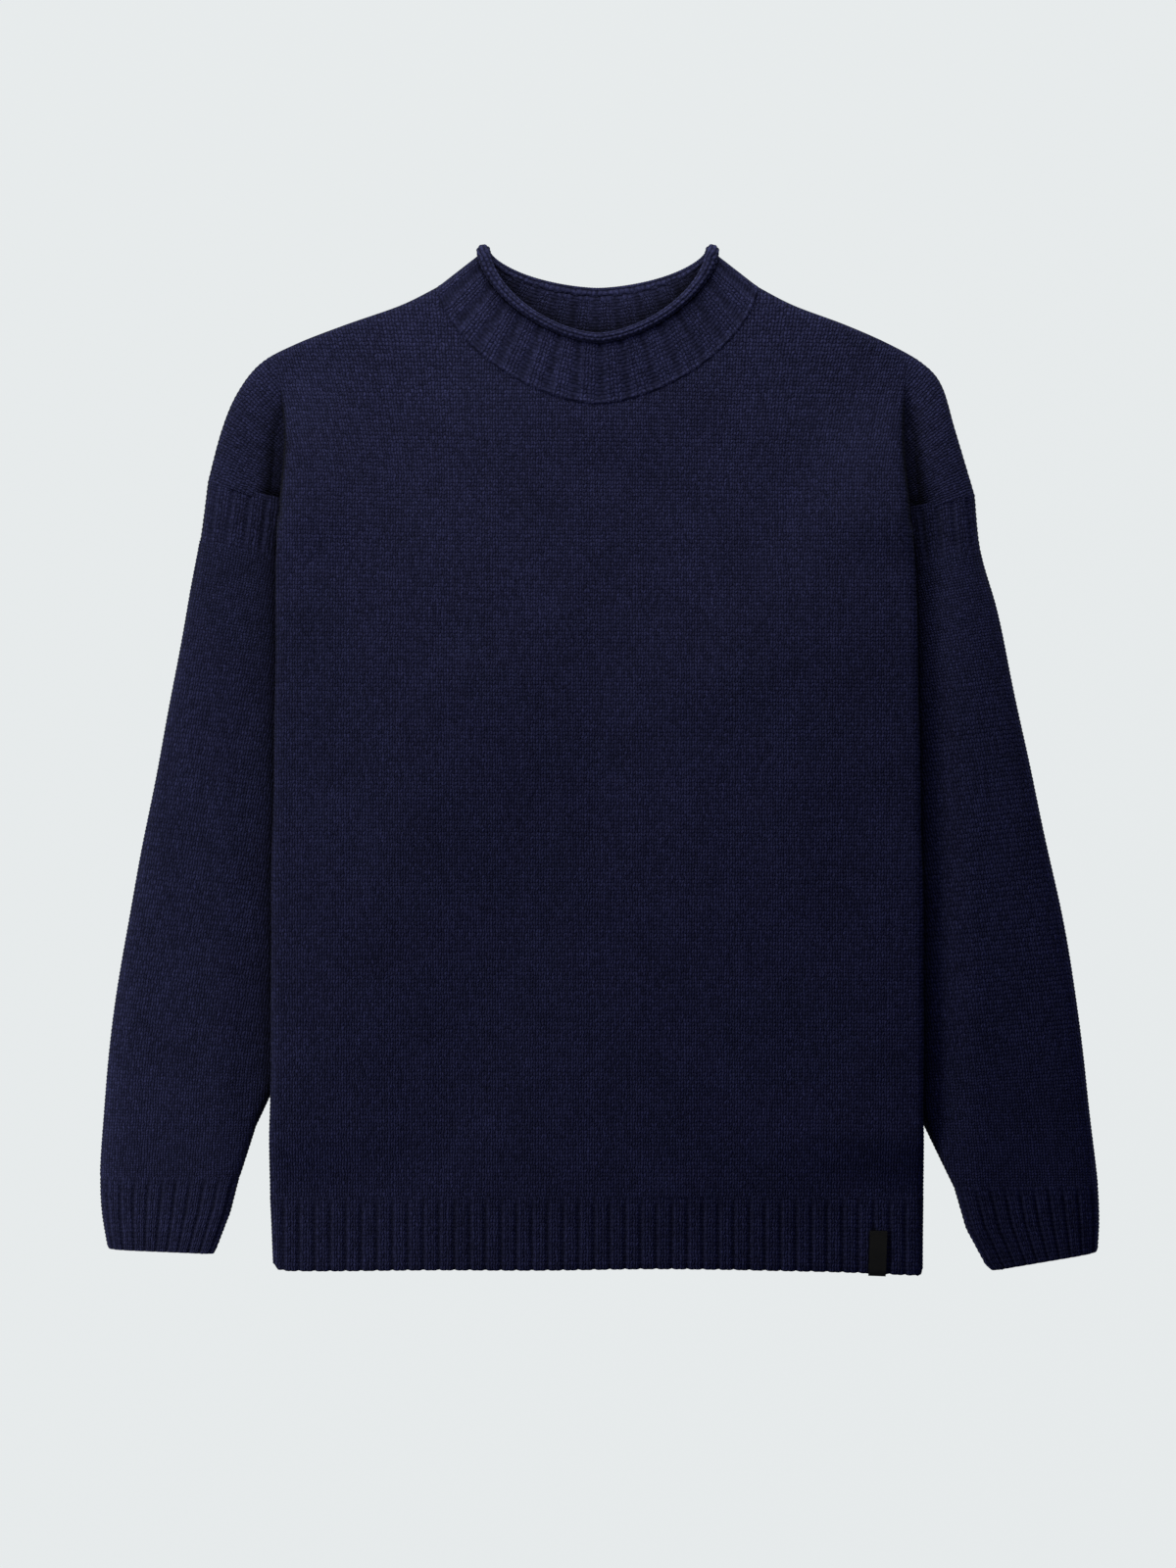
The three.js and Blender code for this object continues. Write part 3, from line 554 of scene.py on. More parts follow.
def upper_shares(height):
    """Shares of the way up each column: even rows, then close rows over the folded edge."""
    close = fold_steps()[::-1][:, None] / height[None, :]
    even = np.linspace(0.0, 1.0, 66)[:, None] * (1.0 - close[0])[None, :]
    return np.vstack([even[:-1], 1.0 - close])


def shoulder_fan(side, valley_x, valley_y, valley, face):
    """Rays from the underarm to the shoulder's outline. Stitches run as on cloth turned about a
    point on the chest: wales along its rays, courses across them."""
    foot = UNDERARM[side]
    sign = 1.0 if side == "right" else -1.0
    outline = OUTLINES[side]
    top = np.argmax(np.abs(outline[:, 0]) <= abs(VALLEY_TOPS[side]))
    arc = np.vstack([[valley_x[-1], valley_y[-1]], outline[:top][::-1]])
    at, _ = even_steps(arc, 1.75)
    position = at * (len(arc) - 1)
    rim_x = np.interp(position, np.arange(len(arc)), arc[:, 0])
    rim_y = np.interp(position, np.arange(len(arc)), arc[:, 1])
    length = np.hypot(rim_x - foot[0], rim_y - foot[1])
    stitch = np.arange(len(rim_x))
    stand_out = scallops(stitch) * np.minimum(1.0, stitch / 4.0) / length
    shares = upper_shares(length)
    near = (1.0 - smooth(stitch / 14.0)) * -sign * VALLEY_BOW[side]
    x = foot[0] + (rim_x - foot[0]) * shares + near * np.sin(np.pi * shares)
    y = foot[1] + (rim_y - foot[1]) * shares
    x[:, 0], y[:, 0] = valley_x, valley_y
    centre_x, centre_y = sign * 100.0, 468.0
    radius = np.hypot(x - centre_x, y - centre_y)
    angle = np.arctan2(y - centre_y, sign * (x - centre_x))
    uv = np.stack([angle * 150.0 / WALE, radius / COURSE], -1)
    points = panel_points(x, y, face)
    rim = stand_out * np.clip((shares - 1.0) * length / FOLD + 1.0, 0.0, 1.0) ** 2
    points[..., 0] += (rim_x - foot[0]) * rim
    points[..., 1] += (rim_y - foot[1]) * rim
    points[0], points[:, 0] = valley[0], valley
    if side == "right":
        return points, uv
    return points[:, ::-1], uv[:, ::-1]


def rib_profile(phase, knit_share, depth):
    """Two knit columns and a purl groove: a flat groove past knit_share, and a shallow dip
    between the two knit columns."""
    phase = phase - np.floor(phase)
    centre = (1 + knit_share) / 2
    groove = np.exp(-(((phase - centre) / ((1 - knit_share) * 0.45)) ** 2))
    for offset in (-1.0, 1.0):
        groove += np.exp(-(((phase - centre + offset) / ((1 - knit_share) * 0.45)) ** 2))
    dip = 0.3 * np.exp(-(((phase - knit_share / 2) / 0.07) ** 2))
    return -depth * np.minimum(1.0, groove + dip)


def rib_wales(phase, knit_share):
    """Stitch column across a rib: the two knit ones fill knit_share of it, the purl ones the
    rest."""
    whole = np.floor(phase)
    part = phase - whole
    knit = part / knit_share * 2
    purl = 2 + (part - knit_share) / (1 - knit_share) * 2
    return whole * 4 + np.where(part < knit_share, knit, purl)


HEM_RIB = 10.4
KNIT_SHARE = 0.72


def hem_drop(x):
    """How far the hem's edge hangs lower towards the wearer's left corner."""
    return 3.3 * np.clip((x - 90.0) / 128.0, 0.0, 1.0) ** 1.3


def hem(face):
    """Grid of a ribbed hem: columns eight to a rib, and rows from the bottom edge to the panel."""
    bottom_lift = np.array([0.0, 0.0, 0.3, 0.8])
    y = np.concatenate([[2.4, 2.7, 3.6, 5.2], np.linspace(7.0, PANEL_FOOT, 36)])
    count = int(round(430.0 / HEM_RIB * 8))
    inner = np.linspace(0.0, 1.0, count + 1)[1:-1]
    left, right = side_x("left", y)[:, None], side_x("right", y)[:, None]
    steps = fold_steps()[None, :]
    middle = left + FOLD + (right - left - 2 * FOLD) * inner[None, :]
    x = np.hstack([left + steps, middle, (right - steps)[:, ::-1]])
    y = np.broadcast_to(y[:, None], x.shape).copy()
    row = np.arange(len(x))[:, None]
    slip = np.sign(x) * edge_fade(x) * (scallops(row, 0.1) + edge_wobble(y, 1.0 + 0.6 * (x > 0)))
    phase = x / HEM_RIB + 0.1
    points = panel_points(x, y, face, hem=True)
    points[..., 0] += slip
    near_top = 1 - smooth((y - (PANEL_FOOT - 9)) / 9)
    fold = rounding(fold_distance(x, y) + 1.5)
    points[..., 2] += face * rib_profile(phase, KNIT_SHARE, 1.35) * near_top * fold
    edge = smooth((y - HEM_BOTTOM) / 3.0)
    points[..., 2] -= face * (1 - edge) * 1.1
    wave = 0.5 * np.sin(x / 61.0 + 0.6) + 0.35 * np.sin(x / 23.0)
    rib_end = rib_profile(phase, KNIT_SHARE, 0.55)
    points[..., 1] += (1 - smooth((y - HEM_BOTTOM) / 25.0)) * (wave * 0.8 - rib_end)
    points[..., 1] += (1 - smooth((y - HEM_BOTTOM) / 12.0)) * smooth((np.abs(x) - 207) / 10) * 0.7
    points[..., 1] -= (1 - smooth((y - HEM_BOTTOM) / 45.0)) * hem_drop(x)
    uv = np.stack([rib_wales(phase, KNIT_SHARE), y / COURSE], -1)
    return [(points, uv)]


# ---------------------------------------------------------------------------------------------
# Sleeves


CUFF_CORNERS = {"left": (0.8, 0.8), "right": (0.8, 2.4)}   # how far they round in: outer, inner
UNDERARM_TUCK = (22.0, 12.0, 0.0)   # how far each section runs on under the body at the armpit


def sleeve_section(side, at):
    """Outer and inner fold of a sleeve at fractional table rows."""
    rows = np.array(SLEEVES[side], float)
    row = np.asarray(at)
    smooth_rows = through(rows, row)
    low = np.clip(np.floor(row).astype(int), 0, len(rows) - 2)
    share = (row - low)[:, None]
    straight = rows[low] + (rows[low + 1] - rows[low]) * share
    inner = straight[:, 2:].copy()
    tuck = np.interp(row, range(len(UNDERARM_TUCK)), UNDERARM_TUCK)
    inner[:, 0] += tuck if side == "left" else -tuck
    return np.hstack([smooth_rows[:, :2], inner])


def sleeve_tube(side, first, last, step, style, ribs=0):
    """Closed grid round a stretch of sleeve: over from the outer fold to the inner fold and back
    underneath. z = half +- half * rounding of the distance to the nearer fold, with a soft puff
    on what shows beside the body, and ribs along it where it has them."""
    dense = np.linspace(first, last, 400)
    at, length = even_steps(sleeve_section(side, dense), step)
    section = sleeve_section(side, first + (last - first) * at)
    out, inner = section[:, :2], section[:, 2:]
    width = np.hypot(*(inner - out).T)[:, None]
    if ribs:
        around = np.linspace(0.0, 2.0, ribs * 10 + 1)
    else:
        steps = fold_steps() / 110.0
        half = np.concatenate([steps, np.linspace(FOLD / 110.0, 0.5, 13)[1:]])
        top = np.concatenate([half, 1.0 - half[:-1][::-1]])
        around = np.concatenate([top, 1.0 + top[1::2], [2.0]])
        around = np.unique(np.round(around, 6))
    share = np.where(around <= 1.0, around, 2.0 - around)[None, :]
    face = np.where(around <= 1.0, 1.0, -1.0)[None, :]
    place = share * width
    distance = np.minimum(place, width - place)
    if not ribs:
        distance = np.minimum(share, 1 - share) * np.minimum(width, 110.0 * (1 + 0 * width))
        near = np.minimum(share, 1 - share) * 110.0
        distance = np.where(near <= FOLD, near, FOLD + (near - FOLD) / (55.0 - FOLD) * (
            width / 2 - FOLD))
        place = np.where(share <= 0.5, distance, width - distance)
    half_height = SLEEVE_HEIGHT / 2
    round_ = rounding(distance)
    z = half_height + face * half_height * round_
    across = (inner - out) / width
    x = out[:, :1] + across[:, :1] * place
    y = out[:, 1:] + across[:, 1:] * place
    shown = visible_width(side, out, y)
    z = z + np.where(face > 0, swell(shown - place, place), 0.0)
    row = np.arange(len(x))[:, None]
    outwards = np.where(share < 0.5, -1.0, 1.0) * np.maximum(1e-9, 1 - smooth(distance / 4.0)) ** 2
    slip = outwards * (scallops(row) + edge_wobble(y, 0.7 + (side == "right")))
    if ribs:
        slip = outwards * scallops(row, 0.2)
    if style == "cuff":
        size = np.where(share < 0.5, *CUFF_CORNERS[side])
        corner = 1 - rounding((length * (1 - at))[:, None], 2 * size)
        slip = slip - np.sign(outwards) * size * corner * (1 - smooth(distance / 14))
    x = x + across[:, :1] * slip
    y = y + across[:, 1:] * slip
    if ribs:
        turn = around[None, :] * ribs / 2.0 + 0.25
        girth = rib_profile(np.broadcast_to(turn, x.shape), KNIT_SHARE, 1.15)
        ends = rib_ends(style, at[:, None] * length, length)
        z = z + face * girth * ends * round_
        x = x + across[:, :1] * np.where(share < 0.5, -1, 1) * girth * ends * (1 - round_)
        u = np.broadcast_to(rib_wales(turn, KNIT_SHARE), x.shape)
    else:
        u = np.where(face > 0, place, 2 * width - place) / WALE
    v = np.broadcast_to(-at[:, None] * length / COURSE, x.shape)
    return (np.stack([x, y, z], -1), np.stack([u, v], -1)), length


def rib_ends(style, along, length):
    """How deep the ribs are along a band: they fade where the band meets plain knitting."""
    start = smooth(along / 7.0) if style in ("cuff", "head") else 1.0
    end = smooth((length - along) / 7.0) if style == "head" else 1.0
    return start * end


def visible_width(side, out, y):
    """Width of sleeve that shows beside the body at each section."""
    body = side_x(side, np.clip(out[:, 1:], PANEL_FOOT, 515.0))
    return np.abs(out[:, :1] - body)


# ---------------------------------------------------------------------------------------------
# Collar


def collar_level(h):
    """Half width, point height and drops at a share h of the collar's height, seam to roll."""
    def between(low, high):
        return low + (high - low) * h
    return {
        "half_width": between(NECK_HALF_WIDTH, TOP_HALF_WIDTH),
        "point_y": between(NECK_POINT_Y, TOP_POINT_Y),
        1: between(FRONT_NECK_DROP, FRONT_TOP_DROP),
        -1: between(BACK_NECK_DROP, BACK_TOP_DROP),
    }


def neck_line(level, face):
    """Points (x, y) along the neck curve of one level of the collar, from left to right."""
    x = -level["half_width"] * np.cos(np.linspace(0.0, math.pi, 2001))
    return np.stack([x, neck_y(x, level["half_width"], level["point_y"], level[face])], -1)


def collar_shares(face, count):
    """x shares from -1 to 1, evenly spaced along the neck curve at mid height."""
    level = collar_level(0.5)
    line = neck_line(level, face)
    length = along(line)
    wanted = np.linspace(0.0, length[-1], count + 1)
    return np.interp(wanted, length, line[:, 0]) / level["half_width"]


def collar_points(h, share, face):
    """Outer face of the collar: centre height +- (half + rise) * rounding of the distance from
    the folded side. The sides climb by TIP_RISE and the front by FRONT_RISE."""
    level, seam = collar_level(h), collar_level(0.0)
    x = share * level["half_width"]
    y = neck_y(x, level["half_width"], level["point_y"], level[face])
    seam_x = np.broadcast_to(share * seam["half_width"], x.shape)
    seam_y = neck_y(seam_x, seam["half_width"], seam["point_y"], seam[face])
    half = front_z(seam_x, seam_y, fold_distance(seam_x, seam_y)) / 2
    from_tip = np.hypot(level["half_width"] - np.abs(x), level["point_y"] - y)
    front_rise = (FRONT_RISE - TIP_RISE) * (1 - share * share)
    rise = np.where(face > 0, front_rise, TIP_RISE - TIP_RISE * share ** 4) * h
    z = half + TIP_RISE * h + face * (half + rise) * rounding(from_tip)
    return np.stack([x, y, z], -1), from_tip


def collar():
    """Grid round the collar, front from left to right and then the back: ribs eight to ten
    columns each, pushed in and out along the wall's own direction, and a ridge at the seam."""
    rows = np.concatenate([[-0.03, -0.012, 0.006, 0.03, 0.055], np.linspace(0.09, 1.0, 27)])
    grids = []
    phase_start = 0.0
    for face, ribs in ((1, FRONT_RIBS), (-1, BACK_RIBS)):
        share = collar_shares(face, ribs * 12)[None, :]
        if face < 0:
            share = share[:, ::-1]
        top = 0.94 if face > 0 else 0.94 + 0.05 * smooth((1 - np.abs(share)) * 4)
        h = np.where(rows[:, None] > 0, rows[:, None] * top, rows[:, None])
        points, from_tip = collar_points(h, share, face)
        phase = phase_start + np.linspace(0.0, ribs, ribs * 12 + 1)[None, :] + 0.16
        phase_start += ribs
        picked = 1.0 + 0.3 * np.cos(4 * np.pi * phase)
        ridge = 0.9 * picked * np.exp(-(((h - 0.015) / 0.03) ** 2)) - 0.9 * smooth(-h / 0.03)
        fade = smooth((h - 0.05) / 0.08)
        girth = rib_profile(np.broadcast_to(phase, points.shape[:2]), 0.56, 0.8) * fade + ridge
        round_ = rounding(from_tip + 0.8)
        points[..., 2] += face * girth * round_
        points[..., 0] += np.sign(share) * girth * (1 - round_)
        u = np.broadcast_to(rib_wales(phase, 0.56), points.shape[:2])
        v = np.broadcast_to(h * COLLAR_HEIGHT / COURSE, points.shape[:2])
        grids.append((points, np.stack([u, v], -1)))
    return grids


def roll_path():
    """Centre line of the rolled edge: the collar's top curve, doubling back at each side on a
    half circle of radius ROLL_TURN, the front riding higher than the back."""
    level = collar_level(1.0)
    halves = []
    for face in (1, -1):
        angle = np.linspace(0.0, math.pi, 600)
        x = -level["half_width"] * np.cos(angle)
        y = neck_y(x, level["half_width"], level["point_y"], level[face])
        share = x / level["half_width"]
        turned = rounding(level["point_y"] - y, ROLL_TURN)
        lift = ROLL_TURN + (ROLL_FRONT_LIFT - ROLL_TURN) * (1 - share * share) * (face > 0)
        z = SLEEVE_HEIGHT / 2 + TIP_RISE + face * lift * turned
        line = np.stack([x, y, z], -1)
        halves.append(line if face > 0 else line[::-1])
    loop = np.vstack([halves[0], halves[1][1:]])
    length = np.concatenate([[0.0], np.cumsum(np.linalg.norm(np.diff(loop, axis=0), axis=1))])
    count = int(round(length[-1] / (WALE / 4)))
    wanted = np.linspace(0.0, length[-1], count + 1)
    line = np.stack([np.interp(wanted, length, loop[:, k]) for k in range(3)], -1)
    return line, length[-1]


def roll():
    """The roll: circles of radius r round its path, knobbled by purl bumps along and across.
    Behind the neck it lies flatter."""
    line, length = roll_path()
    tangent = np.roll(line[:-1], -1, axis=0) - np.roll(line[:-1], 1, axis=0)
    tangent = np.vstack([tangent, tangent[:1]])
    tangent /= np.linalg.norm(tangent, axis=1)[:, None]
    share = line[:, 0] / TOP_HALF_WIDTH
    upward = np.stack([share * -0.75, np.ones(len(line)), 0.12 * np.ones(len(line))], -1)
    upward -= tangent * np.sum(upward * tangent, axis=1)[:, None]
    upward /= np.linalg.norm(upward, axis=1)[:, None]
    side = np.cross(tangent, upward)
    wales = round(length / WALE)
    u = np.linspace(0.0, wales, len(line))[:, None]
    turn = np.linspace(0.0, 1.0, 29)[None, :]
    v = turn * 8.0
    offset = 0.5 * (np.floor(v) % 2)
    bump = np.abs(np.sin(np.pi * (u + offset))) * np.abs(np.sin(np.pi * v))
    radius = ROLL_RADIUS * (0.93 + 0.14 * bump) * (1 + 0.35 * share[:, None] ** 6)
    behind = (line[:, 2] < SLEEVE_HEIGHT / 2 + TIP_RISE)[:, None] * smooth(
        (1 - np.abs(share[:, None])) * 3)
    angle = 2 * np.pi * turn
    flat, wide = 1.0 - 0.45 * behind, 1.0 + 0.8 * behind
    points = (
        line[:, None, :]
        + upward[:, None, :] * (radius * wide * np.cos(angle) - 2.7 * behind)[..., None]
        + side[:, None, :] * (radius * flat * np.sin(angle))[..., None]
    )
    points[..., 2] -= behind * 1.3
    points[-1], points[:, -1] = points[0], points[:, 0]
    return [(points, np.stack([u + 0 * v, v + 0 * u], -1))]


# ---------------------------------------------------------------------------------------------
# Tab


def tab():
    """The tab: the hem's top face, moved out, its lower end turned round the hem's edge."""
    x = np.linspace(TAB["left"], TAB["right"], 13)[None, :]
    y = np.linspace(HEM_BOTTOM - 1.2, TAB["top"], 34)[:, None]
    lean = (TAB["top"] - y) * -0.035
    x, y = x + lean, y + 0 * x
    inside = np.maximum(y, HEM_BOTTOM + 0.2)
    points = panel_points(x, inside, 1, hem=True)
    lift = TAB["thickness"] + 0.15 + 0.5 * np.sin(np.pi * (y - HEM_BOTTOM) / 28.0) ** 2
    points[..., 2] += lift - 1.2 * (1 - smooth((y - HEM_BOTTOM) / 3.0))
    points[..., 1] = y - hem_drop(x) * (1 - smooth((y - HEM_BOTTOM) / 45.0))
    uv = np.stack([x / 0.35, y / 0.45], -1)
    return [(points, uv)]


# ---------------------------------------------------------------------------------------------
# Materials


class Nodes:
    """Short calls for one material's nodes."""

    def __init__(self, name):
        self.material = bpy.data.materials.new(name)
        self.material.use_nodes = True
        self.tree = self.material.node_tree
        self.tree.nodes.clear()

    def add(self, kind, **values):
        node = self.tree.nodes.new(kind)
        for key, value in values.items():
            setattr(node, key, value)
        return node

    def join(self, source, target):
        self.tree.links.new(source, target)

    def sum(self, operation, *inputs, clamp=False):
        node = self.add("ShaderNodeMath", operation=operation, use_clamp=clamp)
        for socket, value in zip(node.inputs, inputs):
            if isinstance(value, (int, float)):
                socket.default_value = value
            else:
                self.join(value, socket)
        return node.outputs[0]

    def blend(self, share, low, high):
        """low + (high - low) * share"""
        return self.sum("ADD", low, self.sum("MULTIPLY", self.sum("SUBTRACT", high, low), share))

    def ramp(self, value, low, high):
        """Smooth step of a value from low to high."""
        node = self.add("ShaderNodeMapRange", interpolation_type="SMOOTHSTEP")
        self.join(value, node.inputs["Value"])
        node.inputs["From Min"].default_value = low
        node.inputs["From Max"].default_value = high
        return node.outputs["Result"]


STITCH_JITTER = 0.55


def stitch_coordinates(nodes):
    """The piece's own stitch map, u counting wales and v courses, nudged a little by noise so
    that no two stitches sit quite alike."""
    source = nodes.add("ShaderNodeUVMap", uv_map="stitches")
    parts = nodes.add("ShaderNodeSeparateXYZ")
    nodes.join(source.outputs["UV"], parts.inputs[0])
    place = nodes.add("ShaderNodeTexCoord")
    nudge = nodes.add("ShaderNodeTexNoise")
    nudge.inputs["Scale"].default_value = 260.0
    nudge.inputs["Detail"].default_value = 1.0
    nodes.join(place.outputs["Object"], nudge.inputs["Vector"])
    shifts = nodes.add("ShaderNodeSeparateXYZ")
    nodes.join(nudge.outputs["Color"], shifts.inputs[0])
    moved = []
    for axis in ("X", "Y"):
        shift = nodes.sum("MULTIPLY", nodes.sum("SUBTRACT", shifts.outputs[axis], 0.5), STITCH_JITTER)
        moved.append(nodes.sum("ADD", parts.outputs[axis], shift))
    return moved[0], moved[1]


def knit_height(nodes, u, v):
    """Height of a knit stitch, 0 in the gaps to 1 on the yarn. Each wale has two legs,
    a = |fract(u) - 1/2| * 2, which climb outwards as a V: sin(pi a) across a leg, and
    1 - |2 fract(v - 0.4 a) - 1|^2 along it."""
    wale = nodes.sum("FRACT", u)
    leg = nodes.sum("MULTIPLY", nodes.sum("ABSOLUTE", nodes.sum("SUBTRACT", wale, 0.5)), 2.0)
    across = nodes.sum("SINE", nodes.sum("MULTIPLY", leg, math.pi))
    across = nodes.sum("POWER", nodes.sum("ABSOLUTE", across), 0.7)
    climb = nodes.sum("FRACT", nodes.sum("SUBTRACT", v, nodes.sum("MULTIPLY", leg, 0.4)))
    swing = nodes.sum("ABSOLUTE", nodes.sum("SUBTRACT", nodes.sum("MULTIPLY", climb, 2.0), 1.0))
    along = nodes.sum("SUBTRACT", 1.0, nodes.sum("POWER", swing, 2.4))
    return nodes.sum("MULTIPLY", across, nodes.blend(along, 0.3, 1.0)), leg


def purl_height(nodes, u, v):
    """Height of a purl stitch: bars across each course, |sin(pi v)|, broken into arcs that sit
    half a stitch over on every other course."""
    row = nodes.sum("FLOOR", v)
    odd = nodes.sum("MULTIPLY", nodes.sum("MODULO", row, 2.0), 0.5)
    bar = nodes.sum("ABSOLUTE", nodes.sum("SINE", nodes.sum("MULTIPLY", v, math.pi)))
    arc = nodes.sum("SINE", nodes.sum("MULTIPLY", nodes.sum("ADD", u, odd), math.pi))
    arc = nodes.sum("POWER", nodes.sum("ABSOLUTE", arc), 0.6)
    return nodes.sum("MULTIPLY", nodes.sum("POWER", bar, 0.8), nodes.blend(arc, 0.35, 1.0))


PAINTED_SHADE_REACH = 0.030            # painted shade darkens the colour in hollows this close to other cloth
HOLLOW_SHADE = 0.2


def groove(nodes, rib, style):
    """Mask of the painted shade in a rib: 1 in the sunk part of a rib and 0 on the rest, with soft
    sides: purl columns outside, knit columns inside."""
    middle = 0.25 if style == "inside" else 0.75
    away = nodes.sum("ABSOLUTE", nodes.sum("SUBTRACT", rib, middle))
    return nodes.sum("SUBTRACT", 1.0, nodes.ramp(away, 0.04, 0.24))


def wool(name, style, base, pit_shade=0.32, bump=0.75, groove_shade=0.55):
    """Worsted wool. style is plain, rib, purl or inside. The colour is the base with painted shade in
    the gaps between stitches, in the grooves of ribs and in hollows close to other cloth, varied
    stitch by stitch and over the whole cloth, with fine fibres."""
    nodes = Nodes(name)
    u, v = stitch_coordinates(nodes)
    knit, leg = knit_height(nodes, u, v)
    purl = purl_height(nodes, u, v)
    if style == "plain":
        height = knit
    elif style == "purl":
        height = purl
    else:
        rib = nodes.sum("FRACT", nodes.sum("DIVIDE", u, 4.0))
        on_purl = nodes.sum("GREATER_THAN", rib, 0.5)
        if style == "inside":
            band = nodes.sum("GREATER_THAN", v, 12.6)
            on_purl = nodes.sum("MAXIMUM", nodes.sum("SUBTRACT", 1.0, on_purl), band)
        height = nodes.blend(on_purl, knit, nodes.blend(purl, 0.25, 0.75))

    spot = nodes.add("ShaderNodeTexWhiteNoise", noise_dimensions="2D")
    cell = nodes.add("ShaderNodeCombineXYZ")
    nodes.join(nodes.sum("FLOOR", nodes.sum("MULTIPLY", u, 2.0)), cell.inputs[0])
    climb = nodes.sum("SUBTRACT", v, nodes.sum("MULTIPLY", leg, 0.4))
    nodes.join(nodes.sum("FLOOR", climb), cell.inputs[1])
    nodes.join(cell.outputs[0], spot.inputs["Vector"])

    place = nodes.add("ShaderNodeTexCoord")
    cloud = nodes.add("ShaderNodeTexNoise")
    cloud.inputs["Scale"].default_value = 26.0
    cloud.inputs["Detail"].default_value = 3.0
    nodes.join(place.outputs["Object"], cloud.inputs["Vector"])
    fibre = nodes.add("ShaderNodeTexNoise")
    fibre.inputs["Scale"].default_value = 900.0
    fibre.inputs["Detail"].default_value = 2.0
    nodes.join(place.outputs["Object"], fibre.inputs["Vector"])

    # painted shade: the colour is darker in the gaps between stitches than on the yarn
    bright = nodes.blend(height, pit_shade, 1.34)
    bright = nodes.sum("MULTIPLY", bright, nodes.blend(spot.outputs["Value"], 0.72, 1.28))
    bright = nodes.sum("MULTIPLY", bright, nodes.blend(cloud.outputs["Fac"], 0.75, 1.25))
    bright = nodes.sum("MULTIPLY", bright, nodes.blend(fibre.outputs["Fac"], 0.2, 1.8))
    # painted shade: the colour is darker in the grooves of the ribs
    if style in ("rib", "inside"):
        shade = nodes.blend(groove(nodes, rib, style), 1.0, groove_shade)
        bright = nodes.sum("MULTIPLY", bright, shade)
    # painted shade: ambient occlusion darkens the colour in hollows near other cloth
    hollow = nodes.add("ShaderNodeAmbientOcclusion", samples=8)
    hollow.inputs["Distance"].default_value = PAINTED_SHADE_REACH
    open_share = nodes.ramp(hollow.outputs["AO"], 0.45, 1.0)
    bright = nodes.sum("MULTIPLY", bright, nodes.blend(open_share, HOLLOW_SHADE, 1.0))
    tone = nodes.add("ShaderNodeVectorMath", operation="SCALE")
    tone.inputs[0].default_value = base
    nodes.join(bright, tone.inputs["Scale"])

    skin = nodes.add("ShaderNodeBsdfPrincipled")
    nodes.join(tone.outputs[0], skin.inputs["Base Color"])
    skin.inputs["Roughness"].default_value = 0.95
    skin.inputs["Specular IOR Level"].default_value = 0.04
    skin.inputs["Sheen Weight"].default_value = 0.03
    skin.inputs["Sheen Roughness"].default_value = 0.45
    skin.inputs["Sheen Tint"].default_value = (0.42, 0.46, 0.68, 1.0)
    relief = nodes.add("ShaderNodeBump")
    relief.inputs["Strength"].default_value = bump
    relief.inputs["Distance"].default_value = 0.0011
    fuzz = nodes.sum("MULTIPLY", fibre.outputs["Fac"], 0.35)
    nodes.join(nodes.sum("ADD", height, fuzz), relief.inputs["Height"])
    nodes.join(relief.outputs[0], skin.inputs["Normal"])
    output = nodes.add("ShaderNodeOutputMaterial")
    nodes.join(skin.outputs[0], output.inputs["Surface"])
    return nodes.material


def ribbon(name):
    """Black woven ribbon: a fine over-and-under weave, sin(pi u) sin(pi v)."""
    nodes = Nodes(name)
    u, v = stitch_coordinates(nodes)
    wave_u = nodes.sum("SINE", nodes.sum("MULTIPLY", u, math.pi))
    wave_v = nodes.sum("SINE", nodes.sum("MULTIPLY", v, math.pi))
    weave = nodes.sum("MULTIPLY", wave_u, wave_v)
    bright = nodes.blend(nodes.sum("MULTIPLY", nodes.sum("ADD", weave, 1.0), 0.5), 0.7, 1.3)
    tone = nodes.add("ShaderNodeVectorMath", operation="SCALE")
    tone.inputs[0].default_value = (0.0055, 0.0055, 0.0075)
    nodes.join(bright, tone.inputs["Scale"])
    skin = nodes.add("ShaderNodeBsdfPrincipled")
    nodes.join(tone.outputs[0], skin.inputs["Base Color"])
    skin.inputs["Roughness"].default_value = 0.85
    skin.inputs["Specular IOR Level"].default_value = 0.2
    relief = nodes.add("ShaderNodeBump")
    relief.inputs["Strength"].default_value = 0.5
    relief.inputs["Distance"].default_value = 0.0002
    nodes.join(weave, relief.inputs["Height"])
    nodes.join(relief.outputs[0], skin.inputs["Normal"])
    output = nodes.add("ShaderNodeOutputMaterial")
    nodes.join(skin.outputs[0], output.inputs["Surface"])
    return nodes.material


NAVY = (0.0122, 0.0136, 0.0490)

# ---------------------------------------------------------------------------------------------
# The pieces

PLAIN = wool("navy_stocking_stitch", "plain", NAVY)
RIBBED = wool("navy_rib", "rib", NAVY, groove_shade=0.68)
HEAD_RIBBED = wool("navy_sleeve_head_rib", "rib", NAVY, groove_shade=0.8)
# painted light: the roll and the collar take copies of the navy made 10 and 8 per cent lighter
PURLED = wool("navy_rolled_edge", "purl", tuple(1.1 * value for value in NAVY))
COLLAR_NAVY_PAINTED_LIGHT = tuple(1.08 * value for value in NAVY)
INSIDE = wool("navy_rib_inside", "inside", COLLAR_NAVY_PAINTED_LIGHT, pit_shade=0.5, groove_shade=0.85)
COLLAR_RIBBED = wool("navy_collar_rib", "rib", COLLAR_NAVY_PAINTED_LIGHT, pit_shade=0.42, groove_shade=0.64)
BLACK_RIBBON = ribbon("black_ribbon")


